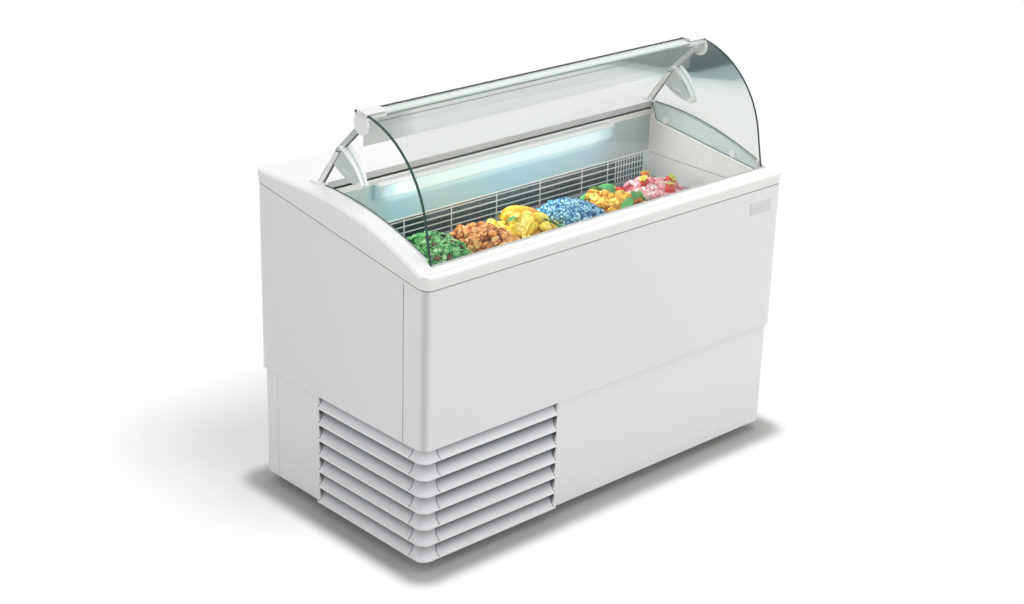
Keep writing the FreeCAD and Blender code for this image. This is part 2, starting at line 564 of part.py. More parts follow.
arm_shape = fuse([web, band, cylinder((centre_x - 11, *TIP), (1, 0, 0), TIP_R, 22.0)])
slot_a = (along(root_high, TIP, 44.0), along(root_high, TIP, 88.0))
slot_b = (along(root_low, TIP, 40.0), along(root_low, TIP, 76.0))
for start, end in (slot_a, slot_b):
    for spot in (start, end):
        arm_shape = arm_shape.cut(cylinder((web_x - 1, *spot), (1, 0, 0), 3.0, 10.0))
    arm_shape = arm_shape.cut(leg_yz(start, end, 3.0, web_x - 1, web_x + 9))
arm_shape = arm_shape.cut(strut)
parts["arm_right"] = max(arm_shape.Solids, key=lambda shape: shape.Volume)
parts["arm_left"] = mirrored(parts["arm_right"])

# Curved glass: a straight leaning foot, then one arc that ends on top of the rail.
lean = math.radians(11.0)
crown = math.radians(2.0)
GLASS_TOP = (PIVOT_Y + 14.0, RAIL_TOP - COVER - GLASS / 2)
foot = (GLASS_FOOT_Y, GLASS_FOOT_Z + GLASS / 2 * math.sin(lean))
a0 = math.pi / 2 - lean
run_y, run_z = GLASS_TOP[0] - foot[0], GLASS_TOP[1] - foot[1]
ky = math.sin(a0) - math.sin(crown)
kz = math.cos(crown) - math.cos(a0)
det = math.sin(lean) * kz - math.cos(lean) * ky
straight = (run_y * kz - run_z * ky) / det
radius = (math.sin(lean) * run_z - math.cos(lean) * run_y) / det


def glass_edge(offset):
    """Three points that fix the straight foot and the arc, moved out by offset."""
    out_y, out_z = -math.cos(lean) * offset, math.sin(lean) * offset
    p0 = V(0, foot[0] + out_y, foot[1] + out_z)
    p1 = p0 + V(0, math.sin(lean) * straight, math.cos(lean) * straight)
    centre = V(0, foot[0] + math.sin(lean) * straight + math.cos(lean) * radius,
               foot[1] + math.cos(lean) * straight - math.sin(lean) * radius)
    r = radius + offset

    def at(angle):
        return centre + V(0, -math.sin(angle) * r, math.cos(angle) * r)
    return p0, p1, at((a0 + crown) / 2), at(crown)


o0, o1, o2, o3 = glass_edge(GLASS / 2)
i0, i1, i2, i3 = glass_edge(-GLASS / 2)
pane = Part.Wire([Part.makeLine(o0, o1), Part.Arc(o1, o2, o3).toShape(), Part.makeLine(o3, i3),
                  Part.Arc(i3, i2, i1).toShape(), Part.makeLine(i1, i0), Part.makeLine(i0, o0)])
glass = Part.Face(pane).extrude(V(2 * GLASS_X, 0, 0)).translated(V(-GLASS_X, 0, 0))
parts["glass"] = glass

CAP_X = STRUT_X1 + 6.0
CAP_LENGTH = 64.0
CAP_ROOF = 6.0
RAIL_X = CAP_X - CAP_LENGTH
rail_y0, rail_y1 = PIVOT_Y - 18.0, PIVOT_Y + 20.0
rail_z0, rail_z1 = RAIL_TOP - 23.0, RAIL_TOP - COVER


def rail_bar(x0, x1, grow):
    """A length of the rail section, larger all round by grow."""
    bar = box(x0, x1, rail_y0 - grow, rail_y1 + grow, rail_z0 - grow, rail_z1 + grow)

    def long_edges(shape, z):
        return [e for e in shape.Edges if e.BoundBox.XLength > 0.5 * (x1 - x0)
                and abs(e.BoundBox.ZMin - z) < 0.1 and e.BoundBox.ZLength < 0.1]
    bar = bar.makeFillet(9.0, long_edges(bar, rail_z1 + grow))
    return bar.makeFillet(9.0, long_edges(bar, rail_z0 - grow))


# The glass lies on the rail, which keeps a low lip behind the glass edge.
lip = V(0, i3.y + REST, i3.z)
sky_z = 2 * RAIL_TOP
sky = Part.Wire([Part.makeLine(i0, i1), Part.Arc(i1, i2, i3).toShape(), Part.makeLine(i3, lip),
                 Part.makeLine(lip, V(0, lip.y, sky_z)),
                 Part.makeLine(V(0, lip.y, sky_z), V(0, -2 * HY, sky_z)),
                 Part.makeLine(V(0, -2 * HY, sky_z), V(0, -2 * HY, i0.z)),
                 Part.makeLine(V(0, -2 * HY, i0.z), i0)])
sky = Part.Face(sky).extrude(V(2 * HX, 0, 0)).translated(V(-HX, 0, 0))
parts["rail"] = rail_bar(-RAIL_X, RAIL_X, 0).cut(sky)

# Moulded caps close round the glass corners and hold the pins.
pocket_x0, pocket_x1 = STRUT_X0 - 4.0, STRUT_X1 + 1.5
cap = rail_bar(RAIL_X, CAP_X, COVER)
cap = cap.cut(cylinder((pocket_x0, PIVOT_Y, PIVOT_Z), (1, 0, 0), DISC_R + MOVING, pocket_x1 - pocket_x0))
cap = cap.cut(box(pocket_x0, pocket_x1, PIVOT_Y + 5, HY, 0, RAIL_TOP - CAP_ROOF))
cap = fuse([cap, cylinder((pocket_x1, PIVOT_Y, PIVOT_Z), (1, 0, 0), CAP_R, CAP_X - pocket_x1),
            cylinder((STRUT_X0 - 3, PIVOT_Y, PIVOT_Z), (1, 0, 0), PIN_R, pocket_x1 - STRUT_X0 + 4)])
cap = cap.cut(glass)
parts["rail_cap_right"] = cap
parts["rail_cap_left"] = mirrored(cap)

# Evaporator behind the rear wall, on legs over the liner floor.
COIL_X = COIL_LENGTH / 2
coil_y0, coil_y1 = WALL_Y + 30, LINER_REAR - 28
coil_z0 = LINER_FLOOR + SHEET + 90
coil_z1 = coil_z0 + 150
coil = []
FIN_STEP = 2 * COIL_X / 30
for i in range(31):
    x = -COIL_X + i * FIN_STEP
    coil.append(box(x - 0.8, x + 0.8, coil_y0, coil_y1, coil_z0, coil_z1))
for y in (coil_y0 + 22, coil_y1 - 22):
    for row in range(3):
        coil.append(cylinder((-COIL_X - 8, y, coil_z0 + 25 + 50 * row), (1, 0, 0), 6.0, 2 * COIL_X + 16))
for sx in (-1, 1):
    x = sx * COIL_X
    coil.append(box(x - 2, x + 2, coil_y0, coil_y1, LINER_FLOOR + SHEET, coil_z1))
parts["evaporator"] = fuse(coil)


def fan(centre, tip_radius, width, hub_radius):
    """A five blade axial fan turning about Y, with its shaft to the rear."""
    x, y, z = centre
    hub = cylinder((x, y, z), (0, 1, 0), hub_radius, width)
    blades = []
    for k in range(5):
        blade = box(x - 0.32 * tip_radius, x + 0.32 * tip_radius, y + width / 2 - 1.2, y + width / 2 + 1.2,
                    z + hub_radius - 4, z + tip_radius * 0.97)
        blade.rotate(V(x, y + width / 2, z), V(0, 0, 1), 28)
        blade.rotate(V(x, y, z), V(0, 1, 0), 72 * k)
        blades.append(blade)
    swept = cylinder((x, y - width, z), (0, 1, 0), tip_radius, 3 * width)
    shaft = cylinder((x, y + width - 1, z), (0, 1, 0), 4.0, 22.0)
    return fuse([hub] + [b.common(swept) for b in blades] + [shaft])


def motor(centre, y0, radius, length, stand_z):
    """A round motor with a bore for the fan shaft, on a stand."""
    x, z = centre
    can = cylinder((x, y0, z), (0, 1, 0), radius, length)
    foot_plate = box(x - 30, x + 30, y0 + 6, y0 + length - 6, stand_z, stand_z + 4)
    stand = box(x - 14, x + 14, y0 + 10, y0 + length - 10, stand_z, z)
    solid = fuse([can, stand, foot_plate])
    return solid.cut(cylinder((x, y0 - 1, z), (0, 1, 0), 4.0 + RUNNING, 22.0))


EVAP_FAN = (EVAPORATOR_FAN_X, WALL_Y + 24, LINER_FLOOR + EVAPORATOR_FAN_RISE)
parts["evaporator_fan"] = fan(EVAP_FAN, 74.0, 24.0, 20.0)
parts["evaporator_motor"] = motor((EVAP_FAN[0], EVAP_FAN[2]), EVAP_FAN[1] + 30, 32.0, 60.0,
                                  LINER_FLOOR + SHEET)

# Machine compartment.
FLOOR = PLATE_Z + PLATE_T
comp_x, comp_y = COMPRESSOR_X, COMPRESSOR_Y
shell = fuse([cylinder((comp_x, comp_y, FLOOR + 62), (0, 0, 1), 78.0, 96.0),
              Part.makeSphere(78.0, V(comp_x, comp_y, FLOOR + 158)),
              cylinder((comp_x, comp_y, FLOOR + 40), (0, 0, 1), 66.0, 30.0)])
skid = box(comp_x - 105, comp_x + 105, comp_y - 70, comp_y + 70, FLOOR + 34, FLOOR + 40)
mounts = [cylinder((comp_x + sx * 88, comp_y + sy * 54, FLOOR), (0, 0, 1), 13.0, 35.0)
          for sx in (-1, 1) for sy in (-1, 1)]
parts["compressor"] = fuse([shell, skid] + mounts)

cond_x0, cond_x1 = CONDENSER_X - CONDENSER_LENGTH / 2, CONDENSER_X + CONDENSER_LENGTH / 2
cond_y0 = -SKIN_Y + LOUVRE_DEPTH + 52
cond_y1 = cond_y0 + 48
cond_z0, cond_z1 = FLOOR, FLOOR + CONDENSER_HEIGHT
condenser = []
for i in range(25):
    x = cond_x0 + i * (cond_x1 - cond_x0) / 24
    condenser.append(box(x - 0.8, x + 0.8, cond_y0, cond_y1, cond_z0 + 8, cond_z1 - 4))
for row in range(5):
    condenser.append(cylinder((cond_x0 - 6, (cond_y0 + cond_y1) / 2, cond_z0 + 30 + 42 * row), (1, 0, 0), 5.0,
                              cond_x1 - cond_x0 + 12))
cond_fan = ((cond_x0 + cond_x1) / 2, cond_y1 + 14, (cond_z0 + cond_z1) / 2)
shroud = box(cond_x0 - 4, cond_x1 + 4, cond_y1, cond_y1 + 34, cond_z0, cond_z1)
shroud = shroud.cut(box(cond_x0 - 1, cond_x1 + 1, cond_y1, cond_y1 + 31, cond_z0 + 3, cond_z1 - 3))
shroud = shroud.cut(cylinder((cond_fan[0], cond_y1, cond_fan[2]), (0, 1, 0), 100.0, 60.0))
condenser.append(shroud)
condenser.append(box(cond_x0 - 4, cond_x0 - 1, cond_y0, cond_y1 + 2, cond_z0, cond_z1))
condenser.append(box(cond_x1 + 1, cond_x1 + 4, cond_y0, cond_y1 + 2, cond_z0, cond_z1))
parts["condenser"] = fuse(condenser)
parts["condenser_fan"] = fan(cond_fan, 94.0, 26.0, 24.0)
parts["condenser_motor"] = motor((cond_fan[0], cond_fan[2]), cond_fan[1] + 32, 38.0, 66.0, FLOOR)

# Rear control panel with two rockers, and the mains inlet.
panel = box(CONTROL_X - 90, CONTROL_X + 90, PLINTH_Y, PLINTH_Y + 4, CONTROL_Z - 36, CONTROL_Z + 36)
back_box = box(CONTROL_X - 78 + 0.2, CONTROL_X + 78 - 0.2, PLINTH_Y - 40, PLINTH_Y,
               CONTROL_Z - 27.8, CONTROL_Z + 27.8)
display = box(CONTROL_X - 66, CONTROL_X - 6, PLINTH_Y + 4, PLINTH_Y + 6, CONTROL_Z - 15, CONTROL_Z + 15)
panel = fuse([panel, back_box, display])
ROCKER_X = 10.0
ROCKER_Z = 12.0
ROCKER_TILT = 6.0
rockers = {"switch_power": CONTROL_X + 24, "switch_light": CONTROL_X + 58}
rock_y = PLINTH_Y - 3.0
for name, x in rockers.items():
    panel = panel.cut(box(x - ROCKER_X - 0.6, x + ROCKER_X + 0.6, PLINTH_Y - 14, PLINTH_Y + 8,
                          CONTROL_Z - ROCKER_Z - 1.2, CONTROL_Z + ROCKER_Z + 1.2))
    panel = panel.cut(cylinder((x - ROCKER_X - 4, rock_y, CONTROL_Z), (1, 0, 0),
                               2.5 + RUNNING, 2 * ROCKER_X + 8))
    cap_face = polygon_yz([(rock_y - 2, CONTROL_Z - ROCKER_Z), (PLINTH_Y + 5.4, CONTROL_Z - ROCKER_Z),
                           (PLINTH_Y + 4.2, CONTROL_Z), (PLINTH_Y + 5.4, CONTROL_Z + ROCKER_Z),
                           (rock_y - 2, CONTROL_Z + ROCKER_Z)], x - ROCKER_X, x + ROCKER_X)
    axle = cylinder((x - ROCKER_X - 3, rock_y, CONTROL_Z), (1, 0, 0), 2.5, 2 * ROCKER_X + 6)
    rocker = fuse([cap_face, axle])
    rocker.rotate(V(x, rock_y, CONTROL_Z), V(1, 0, 0), ROCKER_TILT)
    parts[name] = rocker
parts["control_panel"] = panel
inlet = fuse([cylinder((INLET_X, PLINTH_Y - 22, INLET_Z), (0, 1, 0), INLET_R, 22 + 2),
              cylinder((INLET_X, PLINTH_Y, INLET_Z), (0, 1, 0), 16.0, 6.0)])
parts["mains_inlet"] = inlet.cut(cylinder((INLET_X, PLINTH_Y - 8, INLET_Z), (0, 1, 0), 5.0, 20.0))

for name, shape in parts.items():
    if not shape.isValid():
        raise RuntimeError("not valid: " + name)
    if len(shape.Solids) != 1:
        raise RuntimeError("not one solid: %s (%d)" % (name, len(shape.Solids)))
    shape.exportStep("parts/%s.step" % name)
print(len(parts), "pieces")
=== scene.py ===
# %% [markdown]
# An ice cream display cabinet: a white chest with a louvred plinth, a moulded rim, six tubs of
# ice cream under a lamp, and a curved glass that tips up on two struts.
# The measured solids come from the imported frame. This lesson lights them, gives every one a
# finish, and adds what only a mesh can show: the ice cream, its fruit, the polished glass.

# %% Load the cabinet
import math

import bpy
import numpy as np
from mathutils import Matrix, Vector


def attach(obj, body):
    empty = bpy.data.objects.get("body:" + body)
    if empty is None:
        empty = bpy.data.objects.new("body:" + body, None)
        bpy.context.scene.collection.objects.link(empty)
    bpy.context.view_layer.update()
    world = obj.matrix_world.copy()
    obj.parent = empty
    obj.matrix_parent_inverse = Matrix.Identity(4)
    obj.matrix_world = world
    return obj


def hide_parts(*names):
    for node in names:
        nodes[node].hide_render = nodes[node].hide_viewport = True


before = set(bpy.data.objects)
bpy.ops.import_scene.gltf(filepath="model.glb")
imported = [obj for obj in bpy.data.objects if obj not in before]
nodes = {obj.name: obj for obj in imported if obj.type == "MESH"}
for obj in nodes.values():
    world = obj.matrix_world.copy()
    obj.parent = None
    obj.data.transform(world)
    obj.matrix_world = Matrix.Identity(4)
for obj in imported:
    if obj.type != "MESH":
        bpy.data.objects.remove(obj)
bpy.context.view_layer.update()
scene = bpy.context.scene
scene.view_settings.view_transform = "Standard"

# %% [markdown]
# The camera stands off the front left corner, above the glass. Its place was fitted to the
# corners of the cabinet in the picture, so the frame needs no shift.

# %% Camera
lens = bpy.data.cameras.new("camera")
lens.sensor_width = 36.0
lens.lens = 66.9
lens.clip_end = 80.0
camera = bpy.data.objects.new("camera", lens)
scene.collection.objects.link(camera)
aim = Matrix(((0.736191, 0.241498, -0.63222),
              (-0.676268, 0.298624, -0.673413),
              (0.026169, 0.923311, 0.383162)))
camera.matrix_world = Matrix.Translation((-3.3586, -3.5218, 2.4828)) @ aim.to_4x4()
scene.camera = camera
print("camera", round(lens.lens, 1), "mm at", tuple(camera.matrix_world.translation))

# %% [markdown]
# White goods are lit by large soft sources. The world gives an even fill, and shows pure white
# to the camera, to gloss and through glass. Light Path tells these rays from the ones that only
# carry light. The helpers here wire up small node chains, and later finishes use them too.

# %% World
FILL = 0.70


def math_node(tree, operation, first, second, clamp=False):
    """A Math node; first and second are sockets or plain numbers."""
    node = tree.nodes.new("ShaderNodeMath")
    node.operation = operation
    node.use_clamp = clamp
    for slot, value in zip(node.inputs, (first, second)):
        if isinstance(value, (int, float)):
            slot.default_value = value
        else:
            tree.links.new(value, slot)
    return node.outputs[0]


def straight_rays(tree):
    """1 on rays from the camera, from gloss and through glass: the largest of three flags."""
    ray = tree.nodes.new("ShaderNodeLightPath")
    seen = math_node(tree, "MAXIMUM", ray.outputs["Is Camera Ray"], ray.outputs["Is Glossy Ray"])
    return math_node(tree, "MAXIMUM", seen, ray.outputs["Is Transmission Ray"])


def mix_shaders(tree, share, first, second, output):
    """Sends a blend of two shader nodes to an output node: all first at 0, all second at 1."""
    blend = tree.nodes.new("ShaderNodeMixShader")
    tree.links.new(share, blend.inputs["Fac"])
    tree.links.new(first.outputs[0], blend.inputs[1])
    tree.links.new(second.outputs[0], blend.inputs[2])
    tree.links.new(blend.outputs[0], output.inputs["Surface"])


world = bpy.data.worlds.new("studio")
scene.world = world
world.use_nodes = True
tree = world.node_tree
tree.nodes.clear()
fill = tree.nodes.new("ShaderNodeBackground")
fill.inputs["Color"].default_value = (0.97, 0.985, 1.0, 1.0)
fill.inputs["Strength"].default_value = FILL
white = tree.nodes.new("ShaderNodeBackground")
white.inputs["Color"].default_value = (1.0, 1.0, 1.0, 1.0)
white.inputs["Strength"].default_value = 1.0
mix_shaders(tree, straight_rays(tree), fill, white, tree.nodes.new("ShaderNodeOutputWorld"))
print("world fill", FILL)

# %% [markdown]
# One big panel overhead, one at the front right and a weak one at the left shape the box: bright
# top, plain front, slightly darker left side. The last lamp is the tube in the cabinet, for the
# tubs and end walls. Gloss never shows the panels, only the white world behind them.

# %% Lamps


def soft_panel(name, place, target, width, height, watts):
    """A rectangular lamp at place that faces target. Gloss shows the white world instead of it."""
    lamp = bpy.data.lights.new(name, "AREA")
    lamp.shape = "RECTANGLE"
    lamp.size = width
    lamp.size_y = height
    lamp.energy = watts
    panel = bpy.data.objects.new(name, lamp)
    scene.collection.objects.link(panel)
    back = Vector(place) - Vector(target)
    panel.matrix_world = Matrix.Translation(place) @ back.to_track_quat("Z", "Y").to_matrix().to_4x4()
    panel.visible_glossy = False
    return panel


soft_panel("top_panel", (0.6, -0.3, 3.6), (0.0, 0.0, 0.6), 3.2, 3.2, 41.0)
soft_panel("front_panel", (2.6, -4.0, 1.9), (0.2, 0.0, 0.5), 2.0, 2.4, 56.0)
soft_panel("left_panel", (-3.4, -1.5, 1.6), (-0.3, 0.0, 0.5), 2.0, 2.0, 20.0)
tube_light = soft_panel("tube_light", (0.0, 0.098, 0.838), (0.0, -0.30, 0.74), 0.82, 0.03, 2.4)
tube_light.visible_camera = False
tube_light.visible_transmission = False

# %% [markdown]
# A mesh helper comes before the floor, because every new piece goes through it. A grid of
# points becomes quads by index arithmetic, and foreach_set copies whole arrays into the mesh.
# A second helper gives a piece its finish and the body it moves with.

# %% Mesh helpers


def grid_quads(rows, columns, wrap_rows=False, wrap_columns=False):
    """Corner numbers of the quads between neighbouring rows and columns of a point grid."""
    r = np.arange(rows if wrap_rows else rows - 1)[:, None]
    c = np.arange(columns if wrap_columns else columns - 1)[None, :]
    r1, c1 = (r + 1) % rows, (c + 1) % columns
    quads = np.stack(np.broadcast_arrays(r * columns + c, r * columns + c1,
                                         r1 * columns + c1, r1 * columns + c), -1)
    return quads.reshape(-1, 4)


def volume(points, faces):
    """Six times the signed volume: each face fanned into triangles, each a triple product."""
    total = 0.0
    for f in faces:
        for k in range(1, f.shape[1] - 1):
            a, b, c = points[f[:, 0]], points[f[:, k]], points[f[:, k + 1]]
            total += (a * np.cross(b, c)).sum()
    return total


def put_mesh(name, points, faces, crease=180.0):
    """Object at the origin from a point array and a list of face arrays, one for each number of
    corners. A closed shape whose signed volume comes out negative has its faces turned round, and
    edges that turn by more than crease degrees stay sharp."""
    points = np.asarray(points, np.float64).reshape(-1, 3)
    if volume(points - points.mean(0), faces) < 0.0:
        faces = [f[:, ::-1] for f in faces]
    sizes = np.concatenate([np.full(len(f), f.shape[1]) for f in faces])
    corners = np.concatenate([f.ravel() for f in faces])
    mesh = bpy.data.meshes.new(name)
    mesh.vertices.add(len(points))
    mesh.vertices.foreach_set("co", points.ravel())
    mesh.loops.add(len(corners))
    mesh.loops.foreach_set("vertex_index", corners.astype(np.int32))
    mesh.polygons.add(len(sizes))
    mesh.polygons.foreach_set("loop_start", (np.cumsum(sizes) - sizes).astype(np.int32))
    mesh.polygons.foreach_set("use_smooth", np.full(len(sizes), True))
    mesh.update(calc_edges=True)
    mesh.validate()
    if crease < 180.0:
        mesh.set_sharp_from_angle(angle=math.radians(crease))
    piece = bpy.data.objects.new(name, mesh)
    scene.collection.objects.link(piece)
    return piece


def dress(piece, material, body):
    """Gives a new piece its finish and the body that it moves with."""
    piece.data.materials.append(material)
    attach(piece, body)


print("helpers make", len(grid_quads(3, 3)), "quads from a grid of 3 by 3 points")

# %% [markdown]
# Finishes share effects. A white panel is never one number: paint clouds a little, plastic has
# a fine moulded grain, and dust gathers near the floor. Each effect is one node group with
# named sockets, and each finish places it with its own values.

# %% Node helpers
COLOUR, NUMBER = "NodeSocketColor", "NodeSocketFloat"
GREY = (0.5, 0.5, 0.5, 1.0)


def new_group(name, inputs, outputs):
    """An empty shader group with float or colour sockets, and its two end nodes."""
    group = bpy.data.node_groups.new(name, "ShaderNodeTree")
    for socket, kind, value in inputs:
        made = group.interface.new_socket(socket, in_out="INPUT", socket_type=kind)
        made.default_value = value
    for socket, kind in outputs:
        group.interface.new_socket(socket, in_out="OUTPUT", socket_type=kind)
    return group, group.nodes.new("NodeGroupInput"), group.nodes.new("NodeGroupOutput")


def mix_colour(tree, share, first, second):
    """Blends two colours, each a socket or four numbers, by a share from 0 to 1."""
    node = tree.nodes.new("ShaderNodeMix")
    node.data_type = "RGBA"
    for slot, value in ((node.inputs[0], share), (node.inputs[6], first), (node.inputs[7], second)):
        if hasattr(value, "is_linked"):
            tree.links.new(value, slot)
        else:
            slot.default_value = value
    return node.outputs[2]


def object_axes(tree):
    """Sockets of the object's own X, Y and Z in metres."""
    place = tree.nodes.new("ShaderNodeTexCoord")
    axes = tree.nodes.new("ShaderNodeSeparateXYZ")
    tree.links.new(place.outputs["Object"], axes.inputs[0])
    return axes.outputs["X"], axes.outputs["Y"], axes.outputs["Z"]


def noise_value(tree, scale, detail=2.0):
    """Noise on the object's own metres. scale is a socket or a number."""
    place = tree.nodes.new("ShaderNodeTexCoord")
    noise = tree.nodes.new("ShaderNodeTexNoise")
    noise.inputs["Detail"].default_value = detail
    tree.links.new(place.outputs["Object"], noise.inputs["Vector"])
    if hasattr(scale, "is_linked"):
        tree.links.new(scale, noise.inputs["Scale"])
    else:
        noise.inputs["Scale"].default_value = scale
    return noise.outputs["Fac"]


print("groups carry", COLOUR, "and", NUMBER)

# %% Soft clouding
cloud, cloud_in, cloud_out = new_group(
    "soft_clouding", [("Colour", COLOUR, GREY), ("Scale", NUMBER, 4.0), ("Amount", NUMBER, 0.04),
                      ("Roughness", NUMBER, 0.4), ("Spread", NUMBER, 0.08)],
    [("Colour", COLOUR), ("Roughness", NUMBER)])
drift = noise_value(cloud, cloud_in.outputs["Scale"], 4.0)
centred = math_node(cloud, "SUBTRACT", drift, 0.5)
shade = math_node(cloud, "MULTIPLY", centred, cloud_in.outputs["Amount"])
scaled = cloud.nodes.new("ShaderNodeVectorMath")
scaled.operation = "SCALE"
cloud.links.new(cloud_in.outputs["Colour"], scaled.inputs[0])
cloud.links.new(math_node(cloud, "ADD", shade, 1.0), scaled.inputs["Scale"])
cloud.links.new(scaled.outputs[0], cloud_out.inputs["Colour"])
rub = math_node(cloud, "MULTIPLY", centred, cloud_in.outputs["Spread"])
gloss = math_node(cloud, "ADD", rub, cloud_in.outputs["Roughness"], True)
cloud.links.new(gloss, cloud_out.inputs["Roughness"])
print(cloud.name, len(cloud.nodes), "nodes")

# %% Moulded grain and floor dust
DUST = (0.33, 0.31, 0.28, 1.0)
grain, grain_in, grain_out = new_group(
    "moulded_grain", [("Scale", NUMBER, 900.0), ("Waves", NUMBER, 0.5)], [("Height", NUMBER)])
fine = noise_value(grain, grain_in.outputs["Scale"], 2.0)
slow = math_node(grain, "MULTIPLY", noise_value(grain, 14.0, 1.0), grain_in.outputs["Waves"])
grain.links.new(math_node(grain, "ADD", fine, slow), grain_out.inputs["Height"])

dust, dust_in, dust_out = new_group(
    "floor_dust", [("Colour", COLOUR, GREY), ("Height", NUMBER, 0.25), ("Amount", NUMBER, 0.2)],
    [("Colour", COLOUR)])
_, _, height = object_axes(dust)
rise = math_node(dust, "DIVIDE", height, dust_in.outputs["Height"], True)
low = math_node(dust, "SUBTRACT", 1.0, rise)
specks = math_node(dust, "MULTIPLY", low, noise_value(dust, 60.0, 6.0))
mask = math_node(dust, "MULTIPLY", specks, dust_in.outputs["Amount"], True)
dust.links.new(mix_colour(dust, mask, dust_in.outputs["Colour"], DUST), dust_out.inputs["Colour"])
print("effects", [g.name for g in bpy.data.node_groups])

# %% [markdown]
# A finish is a Principled surface fed by those groups. Constant numbers sit on its own sockets,
# and only what changes over the surface is linked.

# %% Finish maker


def place_group(tree, group, **values):
    """Puts a shared effect into a finish and sets its named inputs."""
    node = tree.nodes.new("ShaderNodeGroup")
    node.node_tree = group
    for name, value in values.items():
        node.inputs[name].default_value = value
    return node


def finish(name, colour, roughness, clouding=0.04, cloud_scale=5.0, spread=0.08, grain_size=900.0,
           relief=0.00004, waves=0.5, metallic=0.0, coat=0.0, dusty=0.0):
    """Principled finish with clouded colour and roughness, and a grain bump of relief metres."""
    material = bpy.data.materials.new(name)
    material.use_nodes = True
    tree = material.node_tree
    surface = tree.nodes["Principled BSDF"]
    surface.inputs["Metallic"].default_value = metallic
    surface.inputs["Coat Weight"].default_value = coat
    tone = place_group(tree, cloud, Colour=(*colour, 1.0), Scale=cloud_scale, Amount=clouding,
                       Roughness=roughness, Spread=spread)
    paint = tone.outputs["Colour"]
    if dusty:
        veil = place_group(tree, dust, Amount=dusty)
        tree.links.new(paint, veil.inputs["Colour"])
        paint = veil.outputs["Colour"]
    tree.links.new(paint, surface.inputs["Base Color"])
    tree.links.new(tone.outputs["Roughness"], surface.inputs["Roughness"])
    skin = place_group(tree, grain, Scale=grain_size, Waves=waves)
    bump = tree.nodes.new("ShaderNodeBump")
    bump.inputs["Strength"].default_value = 1.0
    bump.inputs["Distance"].default_value = relief
    tree.links.new(skin.outputs["Height"], bump.inputs["Height"])
    tree.links.new(bump.outputs["Normal"], surface.inputs["Normal"])
    return material


print("a finish takes", [g.name for g in (cloud, grain, dust)])

# %% [markdown]
# The floor is a wide pale disc. To the camera it is a shaded surface beside the plinth, where its
# real shadow is deepened into a painted shadow by a dark floor colour, and it turns into plain
# white a hand's width away. A second painted shadow reaches further at the rear left, where the
# cabinet keeps the light off. The distance to a rectangle in plan decides how white it is.

# %% Floor
ring = np.linspace(0.0, 2.0 * math.pi, 96, endpoint=False)
radii = np.array([0.0, 1.0, 2.0, 4.0, 9.0, 30.0])
disc = np.stack([radii[:, None] * np.cos(ring), radii[:, None] * np.sin(ring),
                 np.zeros((len(radii), len(ring)))], -1)
floor = put_mesh("studio_floor", disc, [grid_quads(len(radii), len(ring), False, True)])
# The dark floor colour shows only beside the cabinet, and makes a painted shadow there.
pale = finish("pale_floor", (0.46, 0.445, 0.425), 0.9, clouding=0.01, relief=0.0)
tree = pale.node_tree
floor_x, floor_y, _ = object_axes(tree)


def smooth_step(tree, value, start, end, at_start, at_end):
    """A socket eased from one number to another while value runs from start to end."""
    ease = tree.nodes.new("ShaderNodeMapRange")
    ease.interpolation_type = "SMOOTHSTEP"
    tree.links.new(value, ease.inputs["Value"])
    for name, number in zip(("From Min", "From Max", "To Min", "To Max"), (start, end, at_start, at_end)):
        ease.inputs[name].default_value = number
    return ease.outputs["Result"]


def whiteness(middle, half, start, end, least):
    """Share of white: least up to start metres outside a rectangle in plan, then eased to 1 at end.
    The distance is the root of the squared overhangs in X and Y."""
    squares = []
    for axis, centre, size in ((floor_x, middle[0], half[0]), (floor_y, middle[1], half[1])):
        side = math_node(tree, "ABSOLUTE", math_node(tree, "SUBTRACT", axis, centre), 0.0)
        out = math_node(tree, "MAXIMUM", math_node(tree, "SUBTRACT", side, size), 0.0)
        squares.append(math_node(tree, "MULTIPLY", out, out))
    far = math_node(tree, "SQRT", math_node(tree, "ADD", *squares), 0.0)
    return smooth_step(tree, far, start, end, least, 1.0)


# Painted shadow: near the plinth and at the rear left the floor keeps its dark colour instead of white.
near = whiteness((0.0, 0.0), (0.642, 0.326), 0.036, 0.100, 0.02)
rear = whiteness((-0.15, 0.45), (0.40, 0.12), 0.0, 0.48, 0.55)
blank = math_node(tree, "MULTIPLY", math_node(tree, "MULTIPLY", near, rear), straight_rays(tree))
glow = tree.nodes.new("ShaderNodeEmission")
mix_shaders(tree, blank, tree.nodes["Principled BSDF"], glow, tree.nodes["Material Output"])
floor.data.materials.append(pale)
print("floor", len(floor.data.polygons), "faces")

# %% [markdown]
# Photographers give clear glass a shape with a dark card outside the picture. This one stands
# behind the right end and is met only by light that has come through glass. It darkens upwards
# and to the right, and is plain white elsewhere, so that its edges never show.

# %% Dark card


def span(tree, value, start, length):
    """Share of a length that value has gone from start, held between 0 and 1."""
    return math_node(tree, "DIVIDE", math_node(tree, "SUBTRACT", value, start), length, True)


def colour_ramp(tree, share, stops, easing="LINEAR"):
    """A run of colours over a share from 0 to 1. A stop is a position and a colour; the first is
    at 0 and the last at 1."""
    ramp = tree.nodes.new("ShaderNodeValToRGB")
    ramp.color_ramp.interpolation = easing
    elements = ramp.color_ramp.elements
    elements[0].color = (*stops[0][1], 1.0)
    elements[1].color = (*stops[-1][1], 1.0)
    for position, colour in stops[1:-1]:
        elements.new(position).color = (*colour, 1.0)
    tree.links.new(share, ramp.inputs["Fac"])
    return ramp.outputs["Color"]


